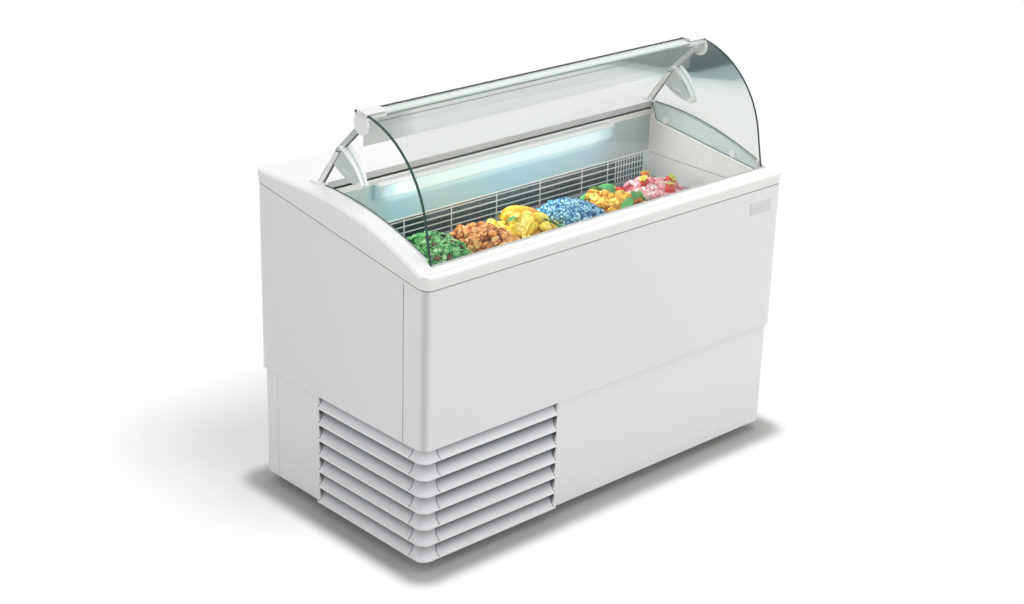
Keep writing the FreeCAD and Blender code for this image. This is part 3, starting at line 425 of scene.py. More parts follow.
x = np.linspace(0.9, 2.4, 4)[None, :]
z = np.linspace(0.2, 1.4, 4)[:, None]
card = put_mesh("dark_card", np.stack(np.broadcast_arrays(x, 0.9, z), -1), [grid_quads(4, 4)])
card_shade = bpy.data.materials.new("card_shade")
card_shade.use_nodes = True
tree = card_shade.node_tree
tree.nodes.remove(tree.nodes["Principled BSDF"])
card_x, _, card_z = object_axes(tree)
upward = span(tree, card_z, 0.43, 0.23)
leaning = math_node(tree, "ADD", card_x, math_node(tree, "MULTIPLY", card_z, 3.15))
depth = math_node(tree, "MULTIPLY", span(tree, leaning, 3.46, 0.22), upward)
glow = tree.nodes.new("ShaderNodeEmission")
tree.links.new(colour_ramp(tree, depth, [
    (0.0, (1.0, 1.0, 1.0)), (0.30, (0.88, 0.92, 0.92)), (0.57, (0.66, 0.74, 0.75)),
    (0.63, (0.40, 0.50, 0.51)), (0.88, (0.30, 0.40, 0.41)), (0.93, (0.11, 0.17, 0.17)),
    (1.0, (0.055, 0.10, 0.10))]), glow.inputs["Color"])
tree.links.new(glow.outputs[0], tree.nodes["Material Output"].inputs["Surface"])
card.data.materials.append(card_shade)
card.visible_camera = False
card.visible_diffuse = False
card.visible_glossy = False
card.visible_shadow = False
print("card", len(card.data.polygons), "faces")

# %% [markdown]
# The solids keep their shapes and get their finishes in the next cells. The skins are stove
# enamel on steel. The front skin is bent round its corners, and the darker band that the bend
# shows is painted shade: the enamel darkens by the distance to the corner in plan. The rim is
# moulded plastic with a warmer white.

# %% Skins, plinth and rim
CORNER = (0.6488, -0.3338)


def wear(material, *names):
    """Puts a finish into every material slot of the named solids."""
    for name in names:
        for slot in nodes[name].material_slots:
            slot.material = material


def paint_of(tree):
    """The colour socket of a finish, on its clouding group."""
    group = [n for n in tree.nodes if n.type == "GROUP" and n.node_tree == cloud][0]
    return group.inputs["Colour"]


def repaint(tree, share, colour):
    """Blends a finish's colour, plain or already linked, into another one by a share."""
    paint = paint_of(tree)
    before = paint.links[0].from_socket if paint.is_linked else tuple(paint.default_value)
    tree.links.new(mix_colour(tree, share, before, colour), paint)


def paint_corner_shade(material, reach, share):
    """Paints shade into a finish towards the two front corners, by the distance in plan and a smooth step.
    """
    tree = material.node_tree
    x, y, _ = object_axes(tree)
    x = math_node(tree, "SUBTRACT", math_node(tree, "ABSOLUTE", x, 0.0), CORNER[0])
    y = math_node(tree, "SUBTRACT", y, CORNER[1])
    square = math_node(tree, "ADD", math_node(tree, "MULTIPLY", x, x), math_node(tree, "MULTIPLY", y, y))
    far = math_node(tree, "SQRT", square, 0.0)
    repaint(tree, smooth_step(tree, far, 0.0, reach, share, 0.0), (0.0, 0.0, 0.0, 1.0))


enamel = finish("white_enamel", (0.85, 0.84, 0.845), 0.34, clouding=0.03, cloud_scale=2.5,
                grain_size=420.0, relief=0.00003, waves=1.5, coat=0.25)
# The darker band at each front corner is painted shade.
paint_corner_shade(enamel, 0.017, 0.26)
wear(enamel, "skin_front", "skin_left", "skin_right", "skin_rear")
wear(finish("plinth_enamel", (0.87, 0.87, 0.872), 0.40, clouding=0.04, grain_size=420.0,
            relief=0.00003, dusty=0.25),
     "plinth_front", "plinth_right", "plinth_left", "plinth_rear")
wear(finish("moulded_rim", (0.90, 0.885, 0.86), 0.32, clouding=0.03, grain_size=1400.0,
            relief=0.00002, coat=0.15), "top_frame")
badge = finish("badge_plate", (0.70, 0.71, 0.73), 0.30, clouding=0.06, cloud_scale=30.0, coat=0.3)
wear(badge, "badge")
print("skins wear", enamel.name)

# %% [markdown]
# The louvres are a cool white plastic. Each blade has a painted highlight on its lip, and painted
# shade that deepens to its top, where the next blade keeps the light off. The place within a
# blade is the fraction of the height over the blade pitch. The corner piece takes only part of
# that painted shade.

# %% Louvres
BLADE_FOOT = 0.030
BLADE_PITCH = 0.046246


def paint_blade_shade(name, colour, amount):
    """A louvre finish with a painted lip highlight and painted shade, both following the height
    within a blade.
    """
    material = finish(name, colour, 0.42, clouding=0.05, grain_size=1200.0, dusty=0.15)
    tree = material.node_tree
    _, _, height = object_axes(tree)
    blades = math_node(tree, "DIVIDE", math_node(tree, "SUBTRACT", height, BLADE_FOOT), BLADE_PITCH)
    # Painted highlight on the lip, then painted shade up to the top of the blade.
    shade = colour_ramp(tree, math_node(tree, "FRACT", blades, 0.0), [
        (0.0, (0.95, 0.95, 0.94)), (0.11, (0.95, 0.95, 0.94)), (0.16, (0.82, 0.83, 0.84)),
        (0.28, (0.67, 0.68, 0.70)), (0.42, (0.46, 0.475, 0.495)), (0.56, (0.27, 0.285, 0.305)),
        (0.68, (0.11, 0.12, 0.13)), (0.76, (0.03, 0.034, 0.04)), (1.0, (0.02, 0.022, 0.026))])
    repaint(tree, amount, shade)
    return material


wear(paint_blade_shade("louvre_plastic", (0.78, 0.79, 0.81), 1.0), "grille_front", "grille_left")
wear(paint_blade_shade("louvre_corner", (0.80, 0.81, 0.83), 0.55), "grille_corner")
print("blade pitch", BLADE_PITCH)

# %% [markdown]
# Some solids of the canopy have two colours: at a joint, along an edge, on a web between flanges.
# Three helpers tell these places apart by the object's own metres, so nothing has to be unwrapped.

# %% Colours by place
PIVOT, ELBOW, HEEL = (-0.041, 1.103), (0.056, 1.013), (0.134, 0.905)


def by_height(material, stops):
    """Gives a finish a run of colours over the height; a stop is a height and a colour."""
    tree = material.node_tree
    _, _, height = object_axes(tree)
    low = stops[0][0]
    tall = stops[-1][0] - low
    shares = [((level - low) / tall, colour) for level, colour in stops]
    tree.links.new(colour_ramp(tree, span(tree, height, low, tall), shares), paint_of(tree))


def edged_legs(material, half, line):
    """Draws the long edges of a strut: a second colour further than half from the axis of its two
    legs, between foot plate and disc. The distance in the YZ plane is a cross product with the
    unit direction of the leg."""
    tree = material.node_tree
    _, y, z = object_axes(tree)
    outside = []
    for (y0, z0), (y1, z1) in ((PIVOT, ELBOW), (ELBOW, HEEL)):
        size = math.hypot(y1 - y0, z1 - z0)
        across = math_node(tree, "MULTIPLY", math_node(tree, "SUBTRACT", y, y0), (z1 - z0) / size)
        along = math_node(tree, "MULTIPLY", math_node(tree, "SUBTRACT", z, z0), (y1 - y0) / size)
        far = math_node(tree, "ABSOLUTE", math_node(tree, "SUBTRACT", across, along), 0.0)
        outside.append(math_node(tree, "GREATER_THAN", far, half))
    over_foot = math_node(tree, "GREATER_THAN", z, HEEL[1] + 0.0055)
    under_disc = math_node(tree, "LESS_THAN", z, PIVOT[1] - 0.017)
    between = math_node(tree, "MULTIPLY", over_foot, under_disc)
    edge = math_node(tree, "MULTIPLY", math_node(tree, "MULTIPLY", *outside), between)
    repaint(tree, edge, (*line, 1.0))


def web_and_flange(material, web, middle, half):
    """Gives a finish a second colour where the distance from the plane X = 0 is within half of
    middle."""
    tree = material.node_tree
    x, _, _ = object_axes(tree)
    off = math_node(tree, "SUBTRACT", math_node(tree, "ABSOLUTE", x, 0.0), middle)
    inside = math_node(tree, "LESS_THAN", math_node(tree, "ABSOLUTE", off, 0.0), half)
    repaint(tree, inside, (*web, 1.0))


print("strut legs run from", PIVOT, "by", ELBOW, "to", HEEL)

# %% [markdown]
# The canopy is painted metal and moulded plastic. The struts have a dark line at their joint,
# painted shade in grey-green above it, and dark long edges. The rail has painted shade on its
# underside: a teal band and a dark green shadow line under a white top. The arms and the end
# plates are webs with a paler flange, told apart by their distance from the middle plane.

# %% Canopy finishes
strut = finish("strut_paint", (0.6, 0.6, 0.6), 0.38, clouding=0.05)
# Above the dark joint line the strut is painted grey-green: painted shade.
by_height(strut, [(1.006, (0.86, 0.86, 0.84)), (1.007, (0.06, 0.065, 0.065)),
                  (1.010, (0.06, 0.065, 0.065)), (1.011, (0.56, 0.60, 0.60))])
edged_legs(strut, 0.0064, (0.10, 0.11, 0.11))
wear(strut, "strut_left", "strut_right")
arm = finish("arm_plastic", (0.86, 0.87, 0.865), 0.40, clouding=0.05)
web_and_flange(arm, (0.60, 0.66, 0.66), 0.600, 0.0042)
wear(arm, "arm_left", "arm_right")
plate = finish("plate_plastic", (0.90, 0.90, 0.89), 0.28, clouding=0.03, coat=0.2)
web_and_flange(plate, (0.67, 0.75, 0.76), 0.6040, 0.0042)
wear(plate, "end_plate_left", "end_plate_right")
rail = finish("rail_paint", (0.84, 0.85, 0.84), 0.30, clouding=0.03, coat=0.2)
# The lower band of the rail is painted shade: teal, then a dark green shadow line.
by_height(rail, [(1.1150, (0.03, 0.08, 0.075)), (1.1178, (0.05, 0.12, 0.11)),
                 (1.1186, (0.14, 0.30, 0.27)), (1.1212, (0.52, 0.67, 0.63)),
                 (1.1230, (0.93, 0.925, 0.925))])
wear(rail, "rail")
cap = finish("cap_plastic", (0.80, 0.805, 0.80), 0.34, clouding=0.04)
by_height(cap, [(1.0760, (0.91, 0.91, 0.90)), (1.1200, (0.91, 0.91, 0.90)),
                (1.1230, (0.80, 0.805, 0.80)), (1.1370, (0.80, 0.805, 0.80))])
wear(cap, "rail_cap_left", "rail_cap_right")
seal = finish("seal_rubber", (0.84, 0.84, 0.83), 0.5, clouding=0.05)
wear(seal, "glass_seal")
strip = finish("brushed_strip", (0.485, 0.495, 0.515), 0.36, clouding=0.10, cloud_scale=90.0)
wear(strip, "worktop_strip")
print("canopy", [m.name for m in (strut, arm, plate, rail, cap, seal, strip)])

# %% [markdown]
# Inside, the liner is pale plastic, the tubs are steel and the grid is coloured plastic. The bed
# between the tubs and the foam in the gaps are painted dark: painted shade where little light
# reaches. The machine parts behind the panels are bare or painted metal, and dusty.

# %% Inner and machine finishes
PANS = ["pan_%d" % k for k in range(1, 7)]
FEET = ["foot_" + place for place in ("front_left", "front_right", "rear_left", "rear_right")]
wear(finish("liner_plastic", (0.95, 0.94, 0.915), 0.38, clouding=0.03, grain_size=700.0), "liner")
wear(finish("grid_plastic", (0.78, 0.86, 0.91), 0.40, clouding=0.05), "air_grid")
# The bed is painted dark grey: painted shade between the tubs and the grid.
wear(finish("bed_plastic", (0.24, 0.27, 0.29), 0.40, clouding=0.06), "pan_frame")
wear(finish("pan_steel", (0.46, 0.47, 0.49), 0.26, clouding=0.12, cloud_scale=30.0, spread=0.15,
            metallic=1.0), *PANS)
wear(finish("lamp_glass", (0.90, 0.92, 0.92), 0.2, clouding=0.02), "lamp_tube")
wear(finish("zinc_steel", (0.46, 0.47, 0.48), 0.38, clouding=0.25, cloud_scale=40.0, metallic=0.9,
            dusty=0.3), "chassis")
wear(finish("foot_plastic", (0.03, 0.03, 0.032), 0.55, clouding=0.2, relief=0.0001, dusty=0.5), *FEET)
# The foam is painted dark grey: painted shade in the narrow gaps where it shows.
wear(finish("foam_painted_shade", (0.30, 0.30, 0.29), 0.9, clouding=0.2, cloud_scale=60.0, relief=0.0004,
            grain_size=500.0), "insulation")
wear(finish("coil_metal", (0.62, 0.60, 0.57), 0.35, clouding=0.3, cloud_scale=50.0, metallic=0.95),
     "evaporator", "condenser")
wear(finish("fan_plastic", (0.05, 0.055, 0.06), 0.45, clouding=0.2), "evaporator_fan", "condenser_fan")
wear(finish("machine_paint", (0.025, 0.027, 0.03), 0.35, clouding=0.25, dusty=0.3),
     "evaporator_motor", "compressor", "condenser_motor")
wear(finish("control_plastic", (0.10, 0.105, 0.11), 0.45, clouding=0.1), "control_panel", "mains_inlet")
wear(finish("green_rocker", (0.05, 0.42, 0.12), 0.30, clouding=0.06), "switch_power")
wear(finish("black_rocker", (0.02, 0.02, 0.022), 0.32, clouding=0.2), "switch_light")
print("finishes so far", len(bpy.data.materials))

# %% [markdown]
# The lamp cover glows in front of the rear wall, and both share one finish: pale blue in the
# middle, grey-green past the ends of the lamp, and a white band under the worktop. The glow is
# strongest along the upper part of the cover and fades to its ends. On the wall below it runs on
# as painted light from the lamp, since the wall itself is no lamp.

# %% Lamp and rear wall
COVER_END = 0.4287
BAND_FOOT = 0.8635
GLOW_END, GLOW_FOOT, GLOW_TOP = 0.432, 0.800, 0.8640


def lamp_wall(name, end_glow):
    """Glowing finish of the cover, and painted lamp light on the wall, by the place along the
    cabinet and the height.
    end_glow lights the two end faces of the cover."""
    material = finish(name, (0.5, 0.5, 0.5), 0.38, clouding=0.03)
    tree = material.node_tree
    x, _, height = object_axes(tree)
    far = math_node(tree, "ABSOLUTE", x, 0.0)
    ended = span(tree, far, 0.36, 0.12)
    tinted = mix_colour(tree, ended, (0.41, 0.69, 0.84, 1.0), (0.46, 0.55, 0.54, 1.0))
    above = span(tree, height, BAND_FOOT, 0.001)
    tree.links.new(mix_colour(tree, above, tinted, (0.86, 0.85, 0.86, 1.0)), paint_of(tree))
    to_end = span(tree, far, GLOW_END, -0.075)
    to_foot = span(tree, height, GLOW_FOOT, 0.040)
    to_top = span(tree, height, GLOW_TOP, -0.003)
    lit = math_node(tree, "MULTIPLY", math_node(tree, "MULTIPLY", to_end, to_foot), to_top)
    glow = colour_ramp(tree, lit, [(0.0, (0.0, 0.0, 0.0)), (0.40, (0.28, 0.30, 0.28)),
                                   (1.0, (0.66, 0.58, 0.48))], "EASE")
    end_face = math_node(tree, "GREATER_THAN", far, COVER_END)
    surface = tree.nodes["Principled BSDF"]
    tree.links.new(mix_colour(tree, end_face, glow, (*end_glow, 1.0)), surface.inputs["Emission Color"])
    surface.inputs["Emission Strength"].default_value = 0.80
    return material


# The glow on the rear wall is painted light from the lamp.
wear(lamp_wall("wall_plastic", (0.0, 0.0, 0.0)), "rear_wall")
wear(lamp_wall("lamp_diffuser", (0.16, 0.19, 0.18)), "lamp_cover")
print("lamp glows from", GLOW_FOOT, "to", GLOW_TOP)

# %% [markdown]
# The glass is one pane: a straight leaning foot, then an arc that ends on top of the rail. Its
# section is a thin rectangle carried along that path. Two unknowns, the straight length and the
# radius, follow from the two ends of the path by a pair of linear equations.

# %% Glass shape
GLASS_T = 0.006
GLASS_HALF = 0.606
LEAN = math.radians(11.0)
CROWN = math.radians(2.0)
foot_y, foot_z = -0.2995, 0.8126
top_y, top_z = -0.027, 1.131
run = np.array([top_y - foot_y, top_z - foot_z])
bend = np.array([[math.sin(LEAN), math.cos(LEAN) - math.sin(CROWN)],
                 [math.cos(LEAN), math.cos(CROWN) - math.sin(LEAN)]])
straight, radius = np.linalg.solve(bend, run)


def glass_path(count):
    """Middle line and outward normals in the YZ plane: a straight run, then an arc."""
    turn = np.linspace(math.pi / 2 - LEAN, CROWN, count)
    knee_y = foot_y + math.sin(LEAN) * straight
    knee_z = foot_z + math.cos(LEAN) * straight
    centre_y = knee_y + math.cos(LEAN) * radius
    centre_z = knee_z - math.sin(LEAN) * radius
    arc = np.stack([centre_y - np.sin(turn) * radius, centre_z + np.cos(turn) * radius], -1)
    normal = np.stack([-np.sin(turn), np.cos(turn)], -1)
    share = np.linspace(0.0, 1.0, 8)[:-1, None]
    line = np.array([foot_y, foot_z]) * (1 - share) + np.array([knee_y, knee_z]) * share
    return np.concatenate([line, arc]), np.concatenate([np.repeat(normal[:1], len(line), 0), normal])


def sheet_along(path, normal, half, thick, wide, deep):
    """Rectangle with ground side edges carried along a path: eight points across each station.
    Each point is the middle line plus a share of the half width in X and of the thickness."""
    x = np.array([-half + wide, half - wide, half, half, half - wide, -half + wide, -half, -half])
    t = np.array([0.5, 0.5, 0.5 - deep / thick, deep / thick - 0.5, -0.5, -0.5, deep / thick - 0.5,
                  0.5 - deep / thick]) * thick
    points = np.empty((len(path), 8, 3))
    points[..., 0] = x
    points[..., 1] = path[:, 0, None] + normal[:, 0, None] * t
    points[..., 2] = path[:, 1, None] + normal[:, 1, None] * t
    return points


path, normal = glass_path(56)
rows = sheet_along(path, normal, GLASS_HALF, GLASS_T, 0.0040, 0.0010)
sides = grid_quads(len(path), 8, False, True)
first = np.arange(8)[None]
last = first + (len(path) - 1) * 8
pane = put_mesh("glass_pane", rows, [sides, first[:, ::-1], last], 8.0)
print("glass straight %.3f radius %.3f" % (straight, radius))

# %% [markdown]
# The two faces are clear and slightly green, a little greener where the sheet is seen at a slant.
# The ground edges are dark, because light runs inside the sheet, and the foot stands in its pale
# seal. Shadow rays pass through a plain tint, so that the tubs stay lit.

# %% Glass finish
clear = bpy.data.materials.new("clear_glass")
clear.use_nodes = True
tree = clear.node_tree
surface = tree.nodes["Principled BSDF"]
slant = tree.nodes.new("ShaderNodeLayerWeight")
slant.inputs["Blend"].default_value = 0.5
steep = span(tree, slant.outputs["Facing"], 0.55, 0.45)
tint = mix_colour(tree, steep, (0.79, 0.82, 0.80, 1.0), (0.80, 0.85, 0.835, 1.0))
tree.links.new(tint, surface.inputs["Base Color"])
surface.inputs["Transmission Weight"].default_value = 1.0
surface.inputs["Roughness"].default_value = 0.0
surface.inputs["IOR"].default_value = 1.30
through = tree.nodes.new("ShaderNodeBsdfTransparent")
through.inputs["Color"].default_value = (0.90, 0.95, 0.94, 1.0)
ray = tree.nodes.new("ShaderNodeLightPath")
mix_shaders(tree, ray.outputs["Is Shadow Ray"], surface, through, tree.nodes["Material Output"])
edge = finish("glass_edge", (0.012, 0.055, 0.050), 0.18, clouding=0.5, cloud_scale=30.0)
for material in (clear, edge, seal):
    pane.data.materials.append(material)
across = np.arange(len(sides)) % 8
finish_of = np.concatenate([np.isin(across, (1, 2, 3, 5, 6, 7)), [2, 1]]).astype(np.int32)
pane.data.polygons.foreach_set("material_index", finish_of)
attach(pane, "lid")
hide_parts("glass")
print("glass faces by finish", np.bincount(finish_of))

# %% [markdown]
# Frozen food scatters light under its surface, so its shadows stay coloured. The finish takes
# a tone number, stored on every point, through a ramp of three colours. It adds noise and fine
# frost, painted shade in dark lines where a cell pattern comes near its borders, and it lets a
# little light in.

# %% Ice cream finish
MIDDLE_TONE = 0.45


def sweet(name, dark, middle, light, roughness=0.32, frost=0.0006, toned=True, painted_shade_cells=0.0):
    """Three-colour ramp driven by the tone attribute and by noise, with frost bump. The last argument
    is the number of cells in a metre whose borders turn dark: painted shade between the pieces."""
    material = bpy.data.materials.new(name)
    material.use_nodes = True
    tree = material.node_tree
    surface = tree.nodes["Principled BSDF"]
    surface.inputs["Roughness"].default_value = roughness
    surface.inputs["Subsurface Weight"].default_value = 0.15
    surface.inputs["Subsurface Radius"].default_value = (1.0, 0.7, 0.5)
    surface.inputs["Subsurface Scale"].default_value = 0.006
    speck = math_node(tree, "SUBTRACT", noise_value(tree, 160.0, 4.0), 0.5)
    if toned:
        tone = tree.nodes.new("ShaderNodeAttribute")
        tone.attribute_name = "tone"
        drive = math_node(tree, "ADD", tone.outputs["Fac"], math_node(tree, "MULTIPLY", speck, 0.7), True)
    else:
        drive = math_node(tree, "ADD", 0.35, math_node(tree, "MULTIPLY", speck, 1.2), True)
    # Painted shade: the borders of the cells turn dark.
    if painted_shade_cells:
        place = tree.nodes.new("ShaderNodeTexCoord")
        cells = tree.nodes.new("ShaderNodeTexVoronoi")
        cells.feature = "DISTANCE_TO_EDGE"
        cells.inputs["Scale"].default_value = painted_shade_cells
        tree.links.new(place.outputs["Object"], cells.inputs["Vector"])
        face = math_node(tree, "DIVIDE", cells.outputs["Distance"], 0.12, True)
        drive = math_node(tree, "MULTIPLY", drive, face)
    paint = colour_ramp(tree, drive, [(0.0, dark), (MIDDLE_TONE, middle), (1.0, light)])
    tree.links.new(paint, surface.inputs["Base Color"])
    bump = tree.nodes.new("ShaderNodeBump")
    bump.inputs["Distance"].default_value = frost
    bump.inputs["Strength"].default_value = 0.8
    tree.links.new(noise_value(tree, 220.0, 5.0), bump.inputs["Height"])
    tree.links.new(bump.outputs["Normal"], surface.inputs["Normal"])
    return material


print("the middle colour stands at tone", MIDDLE_TONE)

# %% [markdown]
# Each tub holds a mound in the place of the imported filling: an oval dome, cut by the tub's walls,
# and up to 20 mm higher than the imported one. Everything on top is placed by the same dome
# formula, so a piece of fruit always rests on the mound.

# %% Dome
FLAVOURS = ("mint", "apricot", "lemon", "sky", "peach", "strawberry")
RISE = (0.118, 0.100, 0.090, 0.098, 0.080, 0.082)
PAN_MID_Y = -0.080
PAN_X = [-0.4125 + 0.165 * k for k in range(6)]
PAN_FLOOR = 0.566
HEAP_X, HEAP_Y = 0.083, 0.155
HEAP_MID = -0.025
DOME_Z = 0.668
INNER_X, INNER_Y = 0.0745, 0.1710


def dome(x, y, k):
    """Height of mound k: the upper half of an ellipsoid of its rise, low and flat outside it."""
    inside = 1.0 - (x / HEAP_X) ** 2 - ((y - HEAP_MID) / HEAP_Y) ** 2
    return DOME_Z + RISE[k] * np.sqrt(np.clip(inside, 0.02, 1.0))


def outline(angle, power=7.0):
    """Distance to the tub wall in a direction: a superellipse of the tub's half sizes."""
    c = np.abs(np.cos(angle)) / INNER_X
    s = np.abs(np.sin(angle)) / INNER_Y
    return (c ** power + s ** power) ** (-1.0 / power)


def lumps(rng, x, y, size, count=10):
    """Sum of sine waves of random direction and phase, about one wave per size metres."""
    turn = rng.uniform(0.0, 2.0 * math.pi, count)[:, None, None]
    phase = rng.uniform(0.0, 2.0 * math.pi, count)[:, None, None]
    pitch = rng.uniform(0.7, 1.5, count)[:, None, None] * 2.0 * math.pi / size
    return np.sin((x * np.cos(turn) + y * np.sin(turn)) * pitch + phase).sum(0) / math.sqrt(count)


print("mounds reach up to", [round(DOME_Z + rise, 3) for rise in RISE])

# %% [markdown]
# The mesh of a mound is a set of polar rings on the dome, made uneven by the waves, and a wall
# down to the floor of the tub. Polar rings follow the rounded outline of the tub better than a
# square grid. Two fans of triangles close it.

# %% Mound
SPOKES, RINGS = 120, 34


def pole_fans(spokes, rings, first_pole):
    """Triangles that close a stack of rings: one fan at its first ring and one at its last. The
    two pole points have the numbers first_pole and first_pole + 1."""
    c = np.arange(spokes)
    n = (c + 1) % spokes
    base = (rings - 1) * spokes
    start = np.stack([np.full(spokes, first_pole), c, n], -1)
    end = np.stack([np.full(spokes, first_pole + 1), base + n, base + c], -1)
    return [start, end]


def mound(k, rng, lump_size, lump_height, drop, *colours):
    """A dome in polar rings, lumpy on top, then straight walls down to the tub floor."""
    angle = np.linspace(0.0, 2.0 * math.pi, SPOKES, endpoint=False)[None, :]
    share = np.linspace(0.0, 1.0, RINGS)[1:, None] ** 0.85
    x = share * outline(angle) * np.cos(angle)
    y = share * outline(angle) * np.sin(angle)
    z = dome(x, y, k) - drop + lump_height * lumps(rng, x, y, lump_size) * (1.0 - share ** 6)
    wall = np.stack([x[-1], y[-1], np.full(SPOKES, PAN_FLOOR)], -1)
    body = np.concatenate([np.stack([x, y, z], -1), wall[None]])
    poles = np.array([[0.0, 0.0, dome(0.0, 0.0, k) - drop], [0.0, 0.0, PAN_FLOOR]])
    points = np.concatenate([body.reshape(-1, 3), poles]) + [PAN_X[k], PAN_MID_Y, 0.0]
    quads = grid_quads(len(body), SPOKES, False, True)[:, ::-1]
    fans = pole_fans(SPOKES, len(body), len(body) * SPOKES)
    piece = put_mesh("ice_cream_%d" % (k + 1), points, [quads, *fans])
    # The mound's colours are darker than the pieces on it: painted shade in the gaps between them.
    dress(piece, sweet(FLAVOURS[k] + "_base", *colours, toned=False), "pan_%d_tub" % (k + 1))
    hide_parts("filling_%d" % (k + 1))


print("a mound has", SPOKES * RINGS + 2, "points")

# %% [markdown]
# Fruit and chunks are many small closed shapes in one mesh. Each starts as the directions of a
# globe. The distance along a direction decides the shape: a power sum gives balls and rounded
# blocks, and a set of random planes gives broken angular chunks.

# %% Chunk shapes


def globe(rings, spokes):
    """Unit directions in rings between two poles, and the faces that close them."""
    polar = np.linspace(0.0, math.pi, rings + 2)[1:-1, None]
    around = np.linspace(0.0, 2.0 * math.pi, spokes, endpoint=False)[None, :]
    x = np.sin(polar) * np.cos(around)
    y = np.sin(polar) * np.sin(around)
    z = np.cos(polar) * np.ones_like(around)
    points = np.concatenate([np.stack([x, y, z], -1).reshape(-1, 3), [[0, 0, 1.0], [0, 0, -1.0]]])
    quads = grid_quads(rings, spokes, False, True)[:, ::-1]
    return points, [quads, *pole_fans(spokes, rings, rings * spokes)]


def block_reach(direction, power):
    """Power-sum distance: 2 is a ball, larger numbers approach a box."""
    return (np.abs(direction) ** power).sum(-1) ** (-1.0 / power)


def broken_reach(rng, count, direction, planes, power):
    """Distance to a set of random planes, softened by a power sum: a broken chunk."""
    facing = rng.normal(size=(count, planes, 3))
    facing /= np.linalg.norm(facing, axis=-1, keepdims=True)
    far = rng.uniform(0.7, 1.0, (count, planes, 1))
    toward = np.clip(np.einsum("npk,vk->npv", facing, direction) / far, 0.0, None)
    toward = np.concatenate([toward, np.full((count, 1, len(direction)), 0.72)], 1)
    return (toward ** power).sum(1) ** (-1.0 / power)


def sized(rng, form, count, size, low, high):
    """Copies of one form, stretched to size and scaled by random numbers from low to high."""
    scale = rng.uniform(low, high, (count, 1)) * np.array(size)
    return form[None] * scale[:, None, :]


def broken(rng, direction, count, size, low, high, planes=10, power=14.0, grow=1.0):
    """Broken chunks, stretched to size and scaled by random numbers from low to high."""
    scale = rng.uniform(low, high, (count, 1)) * grow * np.array(size)
    reach = broken_reach(rng, count, direction, planes, power)
    return direction[None] * reach[..., None] * scale[:, None, :]


print("a globe of 4 rings and 8 spokes has", sum(len(f) for f in globe(4, 8)[1]), "faces")

# %% [markdown]
# Places come from a sunflower spiral, which spreads any number of pieces evenly. Each piece
# rests along the slope of the dome with a random spin.

# %% Places on the mound


def on_heap(places):
    """Places in the whole tub drawn together to the mound, which lies nearer the front."""
    return np.asarray(places) * [1.0, 0.88] + [0.0, HEAP_MID * 0.8]


def spread_over(rng, count, share, jitter):
    """Even places over the tub's outline: a sunflower spiral stretched to it, a little shaken."""
    i = np.arange(count)
    angle = i * math.pi * (3.0 - math.sqrt(5.0)) + rng.uniform(0.0, 6.28)
    far = share * np.sqrt((i + 0.5) / count) * outline(angle, 2.6)
    places = np.stack([far * np.cos(angle), far * np.sin(angle)], -1)
    return on_heap(places + rng.normal(0.0, jitter, (count, 2)))


def sit(places, sink, k):
    """Centres on mound k, sunk into it by a length."""
    return np.stack([places[:, 0], places[:, 1], dome(places[:, 0], places[:, 1], k) - sink], -1)


def resting(rng, places, tilt, k):
    """Turns for pieces on mound k: local Z along the dome's slope, random spin, some tilt."""
    x, y = places[:, 0], places[:, 1]
    up = np.stack([x / HEAP_X ** 2, (y - HEAP_MID) / HEAP_Y ** 2,
                   (dome(x, y, k) - DOME_Z) / RISE[k] ** 2], -1)
    up /= np.linalg.norm(up, axis=-1, keepdims=True)
    up += rng.normal(0.0, tilt, up.shape)
    up /= np.linalg.norm(up, axis=-1, keepdims=True)
    spin = rng.uniform(0.0, 2.0 * math.pi, len(x))
    side = np.stack([np.cos(spin), np.sin(spin), np.zeros_like(spin)], -1)
    side -= up * (side * up).sum(-1, keepdims=True)
    side /= np.linalg.norm(side, axis=-1, keepdims=True)
    return np.stack([side, np.cross(up, side), up], -1)


print("mounds lie nearer the front by", -HEAP_MID)

# %% [markdown]
# All shapes of one kind share one mesh, because hundreds of objects would be slow. Every point
# gets a tone number for the finish, which carries painted light on top of each shape and painted
# shade at its foot. A shape that would reach over the tub's rim is moved back, so that a tub can
# be lifted out past its neighbours.

# %% Many shapes in one mesh
KEEP_X, KEEP_Y = 0.0785, 0.1740
# Painted light and shade: each shape's tone rises by this much from its foot to its top.
PAINTED_TOP_LIGHT = 0.42


def many(name, k, shapes, faces, turns, centres, tones, material, crease=180.0):
    """One mesh of many shapes in tub k: every shape turned, moved and given its tone, a number on
    every point, with painted light at the top and painted shade at the foot of the shape. A shape
    that would reach over the rim is moved back."""
    top = np.abs(shapes[..., 2]).max(1, keepdims=True) + 1e-6
    tones = np.asarray(tones)[:, None] + PAINTED_TOP_LIGHT * shapes[..., 2] / top
    placed = np.einsum("nij,nvj->nvi", turns, shapes) + centres[:, None, :]
    keep = np.array([KEEP_X, KEEP_Y, 10.0])
    over = np.clip(placed.max(1) - keep, 0.0, None) - np.clip(-keep - placed.min(1), 0.0, None)
    placed = placed - over[:, None, :] + [PAN_X[k], PAN_MID_Y, 0.0]
    count, size = placed.shape[:2]
    shift = (np.arange(count) * size)[:, None, None]
    piece = put_mesh(name, placed, [(f[None] + shift).reshape(-1, f.shape[1]) for f in faces], crease)
    layer = piece.data.attributes.new("tone", "FLOAT", "POINT")
    layer.data.foreach_set("value", np.clip(tones, 0.0, 1.0).astype(np.float32).ravel())
    dress(piece, material, "pan_%d_tub" % (k + 1))
    print(name, count, "shapes,", len(piece.data.polygons), "faces")
    return piece


print("shapes keep within", KEEP_X, "and", KEEP_Y, "of the middle of a tub")

# %% [markdown]
# Tub one, mint: short broken flakes lie in every direction, so that each catches the light
# differently.

